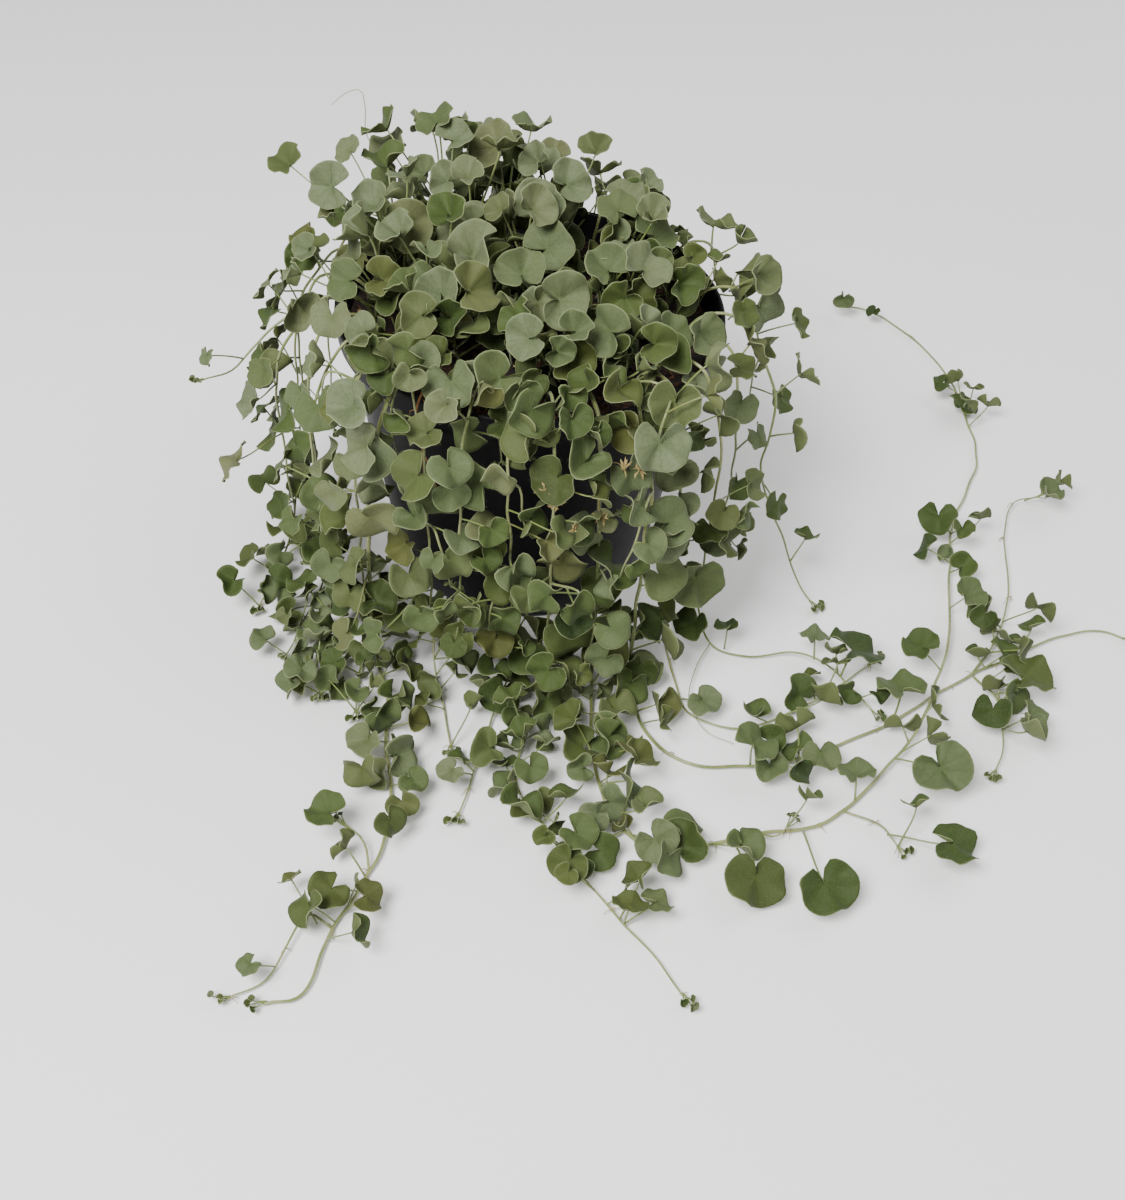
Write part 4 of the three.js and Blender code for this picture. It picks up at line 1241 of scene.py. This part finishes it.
def stem_material():
    g = Graph("dichondra_stem", roughness=0.6, sheen_weight=0.2)
    tone = g.node("SeparateXYZ", {0: g.attribute("tone")}).outputs
    body = g.blend(g.ramp(g.noise(60), 0.35, 0.7), colour(136, 142, 88), colour(106, 118, 62))
    body = g.blend(g.ramp(g.noise(300, 3), 0.55, 0.8), body, colour(138, 134, 88))
    body = g.tint(body, tone[0], 0.8, 104, 122, 58)
    body = g.tint(body, tone[1], 0.7, 112, 96, 54)
    return g.finish(body, g.ramp(g.noise(500), 0.0, 1.6), g.noise(1800, 3), 0.2)


def hair_material():
    g = Graph("dichondra_hair", roughness=0.8)
    body = g.blend(g.noise(200), colour(160, 166, 132), colour(128, 136, 96))
    return g.finish(body)


def dry_material(name, roughness, scale, first, second, grain, strength):
    """A matt material of two colours in soft patches, with a fine grain."""
    g = Graph(name, roughness=roughness)
    body = g.blend(g.ramp(g.noise(scale), 0.3, 0.7), colour(*first), colour(*second))
    return g.finish(body, None, g.noise(*grain), strength)


def soil_material():
    g = Graph("potting_mix", roughness=0.95)
    body = g.blend(g.ramp(g.noise(90, 8, 0.7), 0.35, 0.68), colour(18, 13, 10), colour(46, 31, 22))
    grains = g.node("TexVoronoi", {"Vector": g.place(), "Scale": 420.0}).outputs["Color"]
    light = g.node("SeparateXYZ", {0: grains}).outputs[0]
    body = g.tint(body, g.ramp(light, 0.72, 0.95), 0.5, 92, 60, 40)
    height = g.math("ADD", g.noise(260, 8, 0.75), g.math("MULTIPLY", light, 0.5))
    return g.finish(body, None, height, 0.9, 0.0016)


def pot_material():
    g = Graph("pot_plastic", roughness=0.5, specular_ior_level=0.15)
    body = g.blend(g.ramp(g.noise(14, 6, 0.65), 0.3, 0.75), colour(17, 17, 19), colour(28, 27, 31))
    body = g.tint(body, g.ramp(g.noise(55, 8, 0.7), 0.55, 0.8), 0.3, 62, 56, 54)
    rough = g.math("ADD", 0.36, g.math("MULTIPLY", g.noise(40, 6, 0.7), 0.24))
    grain = g.math("ADD", g.noise(1500, 2), g.math("MULTIPLY", g.noise(9, 3), 0.6))
    return g.finish(body, rough, grain, 0.12, 0.0004)


def floor_material():
    g = Graph("pale_floor", roughness=0.9)
    body = g.blend(g.noise(4), colour(246, 246, 246), colour(250, 250, 250))
    return g.finish(body)


# Pot
def turned(maker, profile, sectors):
    """A closed turned body from a profile that starts and ends on the axis."""
    profile = np.array(profile, float)
    angle = np.arange(sectors) * 2 * math.pi / sectors
    rings = []
    for radius, z in profile[1:-1]:
        ring = [radius * np.cos(angle), radius * np.sin(angle), np.full(sectors, z)]
        rings.append(np.stack(ring, -1))
    points = np.vstack([*rings, [[0, 0, profile[0][1]]], [[0, 0, profile[-1][1]]]])
    maker.add(points, ring_faces(len(rings), sectors), 0)


def pot_profile():
    """Radius and height from the underside's middle, up the outside and down the inside."""
    top, rim, lip = POT_HEIGHT, RIM_RADIUS, POT_HEIGHT - LIP_HEIGHT
    foot_inner = BASE_RADIUS - FOOT_WIDTH
    body = [(BASE_RADIUS + WALL_SLOPE * z, z) for z in (2, *range(12, 97, 12), lip - 0.8)]
    return [
        (0, 0), (CENTRE_PAD_RADIUS, 0), (CENTRE_PAD_RADIUS + RECESS, RECESS),
        (foot_inner - RECESS, RECESS), (foot_inner, 0.2), (foot_inner + 0.4, 0), (BASE_RADIUS - 1, 0),
        (BASE_RADIUS - 0.2, 0.6), *body, (BODY_TOP_RADIUS + 0.3, lip - 0.2), (rim - 1.2, lip - 0.1),
        (rim - 0.7, lip + 0.3), (rim - 0.5, lip + 1.2), (rim - 0.25, top - 3), (rim, top - 1.6),
        (rim - 0.1, top - 0.8), (rim - 0.5, top - 0.2), (rim - 1, top), (rim - 1.6, top - 0.2),
        (rim - 2, top - 0.9), (rim - 2.2, lip + 2), (inner_radius(lip), lip - 0.5),
        (inner_radius(60), 60), (inner_radius(FLOOR), FLOOR + 0.6), (inner_radius(FLOOR) - 0.6, FLOOR),
        (0, FLOOR),
    ]


def drill(piece, places, radius, low, high):
    """Cuts round holes through a piece."""
    maker = Maker()
    for x, y in places:
        turned(maker, [(0, low), (radius, low), (radius, high), (0, high)], HOLE_SECTORS)
        maker.points[-1] += np.array([x, y, 0.0])
    cutter = maker.finish("cutter", [])
    cut = piece.modifiers.new("holes", "BOOLEAN")
    cut.object = cutter
    cut.solver = "EXACT"
    graph = bpy.context.evaluated_depsgraph_get()
    mesh = bpy.data.meshes.new_from_object(piece.evaluated_get(graph), depsgraph=graph)
    piece.modifiers.clear()
    piece.data = mesh
    bpy.data.objects.remove(cutter)


def make_pot(look):
    maker = Maker()
    turned(maker, pot_profile(), POT_SECTORS)
    piece = maker.finish("nursery_pot", [look], "pot", "pot")
    angles = [math.radians(i * 360 / DRAIN_HOLES) for i in range(DRAIN_HOLES)]
    places = [(DRAIN_CIRCLE * math.cos(a), DRAIN_CIRCLE * math.sin(a)) for a in angles]
    drill(piece, places, DRAIN_RADIUS, -1, FLOOR + 1)
    return piece


# Potting mix
def soil_height(x, y):
    broad = math.sin(x * 0.13 + 1) * math.cos(y * 0.17)
    fine = math.sin(x * 0.31 + y * 0.27)
    rough = noise.fractal(Vector((x, y, 0)) * 0.16, 0.8, 2.2, 5)
    return SOIL_TOP + SOIL_BUMP * (broad + fine / 2) + rough * 1.3


def make_soil(look, coir):
    maker = Maker()
    edge = inner_radius(SOIL_TOP) - GAP
    rings = [(edge * (1 - i / SOIL_RINGS), SOIL_TOP) for i in range(SOIL_RINGS)]
    profile = [(0, FLOOR + GAP), (inner_radius(FLOOR) - 2 * GAP, FLOOR + GAP), *rings, (0, SOIL_TOP)]
    turned(maker, profile, SOIL_SECTORS)
    for points in maker.points:
        for point in points:
            if point[2] > SOIL_TOP - GAP and math.hypot(point[0], point[1]) < edge - 0.1:
                point[2] = soil_height(point[0], point[1])
    add_litter(maker, edge)
    return maker.finish("potting_mix", [look, coir], "soil", "soil")


def add_litter(maker, edge):
    """Chips and fibres of coir that lie on the mix."""
    draw = np.random.default_rng(LITTER_SEED)

    def any_place(share):
        away = edge * math.sqrt(draw.uniform(0, share))
        return away * level_way(draw.uniform(0, 2 * math.pi))[:2]

    for _ in range(CHIPS):
        x, y = any_place(0.97)
        size = draw.uniform(*CHIP_SIZE) * np.array([1, draw.uniform(0.4, 0.9), draw.uniform(0.3, 0.6)])
        corners = units(draw.normal(0, 1, (8, 3)))
        place = np.array([x, y, soil_height(x, y) + 0.2])
        spin = Matrix.Rotation(draw.uniform(0, 6.28), 3, "Z") @ Matrix.Rotation(draw.normal(0, 0.5), 3, "X")
        points = (corners * size) @ np.array(spin).T + place
        maker.add(points, convex_faces(points), 1 if draw.uniform() < COIR_SHARE else 0)
    for _ in range(FIBRES):
        x, y = any_place(0.95)
        heading, length = draw.uniform(0, 6.28), draw.uniform(*FIBRE_LENGTH)
        line = []
        for _ in range(FIBRE_POINTS):
            heading += draw.normal(0, 0.25)
            x, y = (x, y) + level_way(heading)[:2] * length / (FIBRE_POINTS - 1)
            if math.hypot(x, y) > edge - 0.8:
                break
            line.append((x, y, soil_height(x, y) + 0.3 + abs(draw.normal(0, 0.5))))
        if len(line) > 2:
            add_tube(maker, line, FIBRE_RADIUS, 4, 1)


def convex_faces(points):
    """The triangles of the smallest convex body round the points."""
    shape = bmesh.new()
    for point in points:
        shape.verts.new(point)
    shape.verts.index_update()
    found = bmesh.ops.convex_hull(shape, input=shape.verts)
    faces = [[v.index for v in f.verts] for f in found["geom"] if isinstance(f, bmesh.types.BMFace)]
    shape.free()
    return faces


# Dry root
def make_dry_root(look):
    maker = Maker()
    fork = root_points(ROOT_FORK)
    main = Route(root_points(ROOT_ROUTE)).spaced(LONG_STEPS)
    add_tube(maker, main, ROOT_RADIUS, 7, 0)
    side = Route([nearest(main, fork[0]), *fork[1:]]).spaced(SHORT_STEPS)
    add_tube(maker, side, FORK_RADIUS, 6, 0)
    draw = np.random.default_rng(ROOT_SEED)
    for index in draw.integers(18, 58, ROOT_HAIRS):
        line = [main[index]]
        for _ in range(5):
            line.append(line[-1] + draw.normal(0, 0.7, 3) - UP * 0.5)
        add_tube(maker, line, ROOT_HAIR_RADIUS, 4, 0)
    return maker.finish("dry_root_grown", [look], "dry_root", "dry_root")


# Camera, floor and light
def make_camera():
    forward = Vector((0, math.cos(CAMERA_PITCH), -math.sin(CAMERA_PITCH)))
    level = Vector((1, 0, 0))
    above = level.cross(forward)
    right = level * math.cos(CAMERA_ROLL) + above * math.sin(CAMERA_ROLL)
    up = above * math.cos(CAMERA_ROLL) - level * math.sin(CAMERA_ROLL)
    data = bpy.data.cameras.new("camera")
    data.sensor_fit = "VERTICAL"
    data.sensor_height = SENSOR
    data.lens = FOCAL_PIXELS * SENSOR / PHOTO_HEIGHT
    data.clip_start = 0.01
    camera = new_object("camera", data)
    place = (Vector(CAMERA_AIM) - forward * CAMERA_DISTANCE) / METRE
    turn = Matrix((right, up, -forward)).transposed().to_4x4()
    camera.matrix_world = Matrix.Translation(place) @ turn
    bpy.context.scene.camera = camera


def make_floor(look):
    mesh = bpy.data.meshes.new("floor")
    corners = [(x * FLOOR_HALF, y * FLOOR_HALF, 0) for x, y in ((-1, -1), (1, -1), (1, 1), (-1, 1))]
    mesh.from_pydata(corners, [], [(0, 1, 2, 3)])
    mesh.materials.append(look)
    floor = new_object("floor", mesh)


def make_light(name, place, aim, size, power):
    data = bpy.data.lights.new(name, "AREA")
    data.size = size
    data.energy = power
    light = new_object(name, data)
    light.location = place
    light.rotation_euler = (Vector(aim) - Vector(place)).to_track_quat("-Z", "Y").to_euler()


def make_lights():
    world = bpy.data.worlds.new("studio")
    world.use_nodes = True
    background = world.node_tree.nodes["Background"].inputs
    background["Color"].default_value = WORLD_COLOUR
    background["Strength"].default_value = WORLD_STRENGTH
    bpy.context.scene.world = world
    for light in LIGHTS:
        make_light(*light)


# Assembly
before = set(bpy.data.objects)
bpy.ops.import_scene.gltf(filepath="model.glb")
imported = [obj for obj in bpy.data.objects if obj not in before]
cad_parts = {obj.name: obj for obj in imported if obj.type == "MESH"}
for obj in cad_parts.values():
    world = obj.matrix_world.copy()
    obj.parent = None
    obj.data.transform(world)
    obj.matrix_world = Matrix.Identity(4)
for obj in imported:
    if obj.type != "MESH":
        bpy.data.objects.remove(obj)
cad_low, cad_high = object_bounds()
make_camera()
make_floor(floor_material())
make_lights()

tufts, trails = make_stems()
grow_solid_leaves(tufts, trails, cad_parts)
fill_plant(tufts, trails, np.array(cad_low) * METRE + (0, 0, 0.6), np.array(cad_high) * METRE)
share_flowers(trails)
husk = dry_material("dry_husk", 0.85, 220, (168, 150, 98), (112, 98, 54), (1500, 3), 0.4)
root = dry_material("dry_root", 0.85, 140, (122, 84, 46), (168, 124, 74), (1500, 3), 0.4)
coir = dry_material("coir", 0.9, 70, (60, 38, 26), (128, 88, 58), (900, 4), 0.5)
plant_looks = [leaf_material(), stem_material(), hair_material(), husk]
for stem in tufts + trails:
    make_leafy_stem(stem, plant_looks)
make_dry_root(root)
make_pot(pot_material())
make_soil(soil_material(), coir)
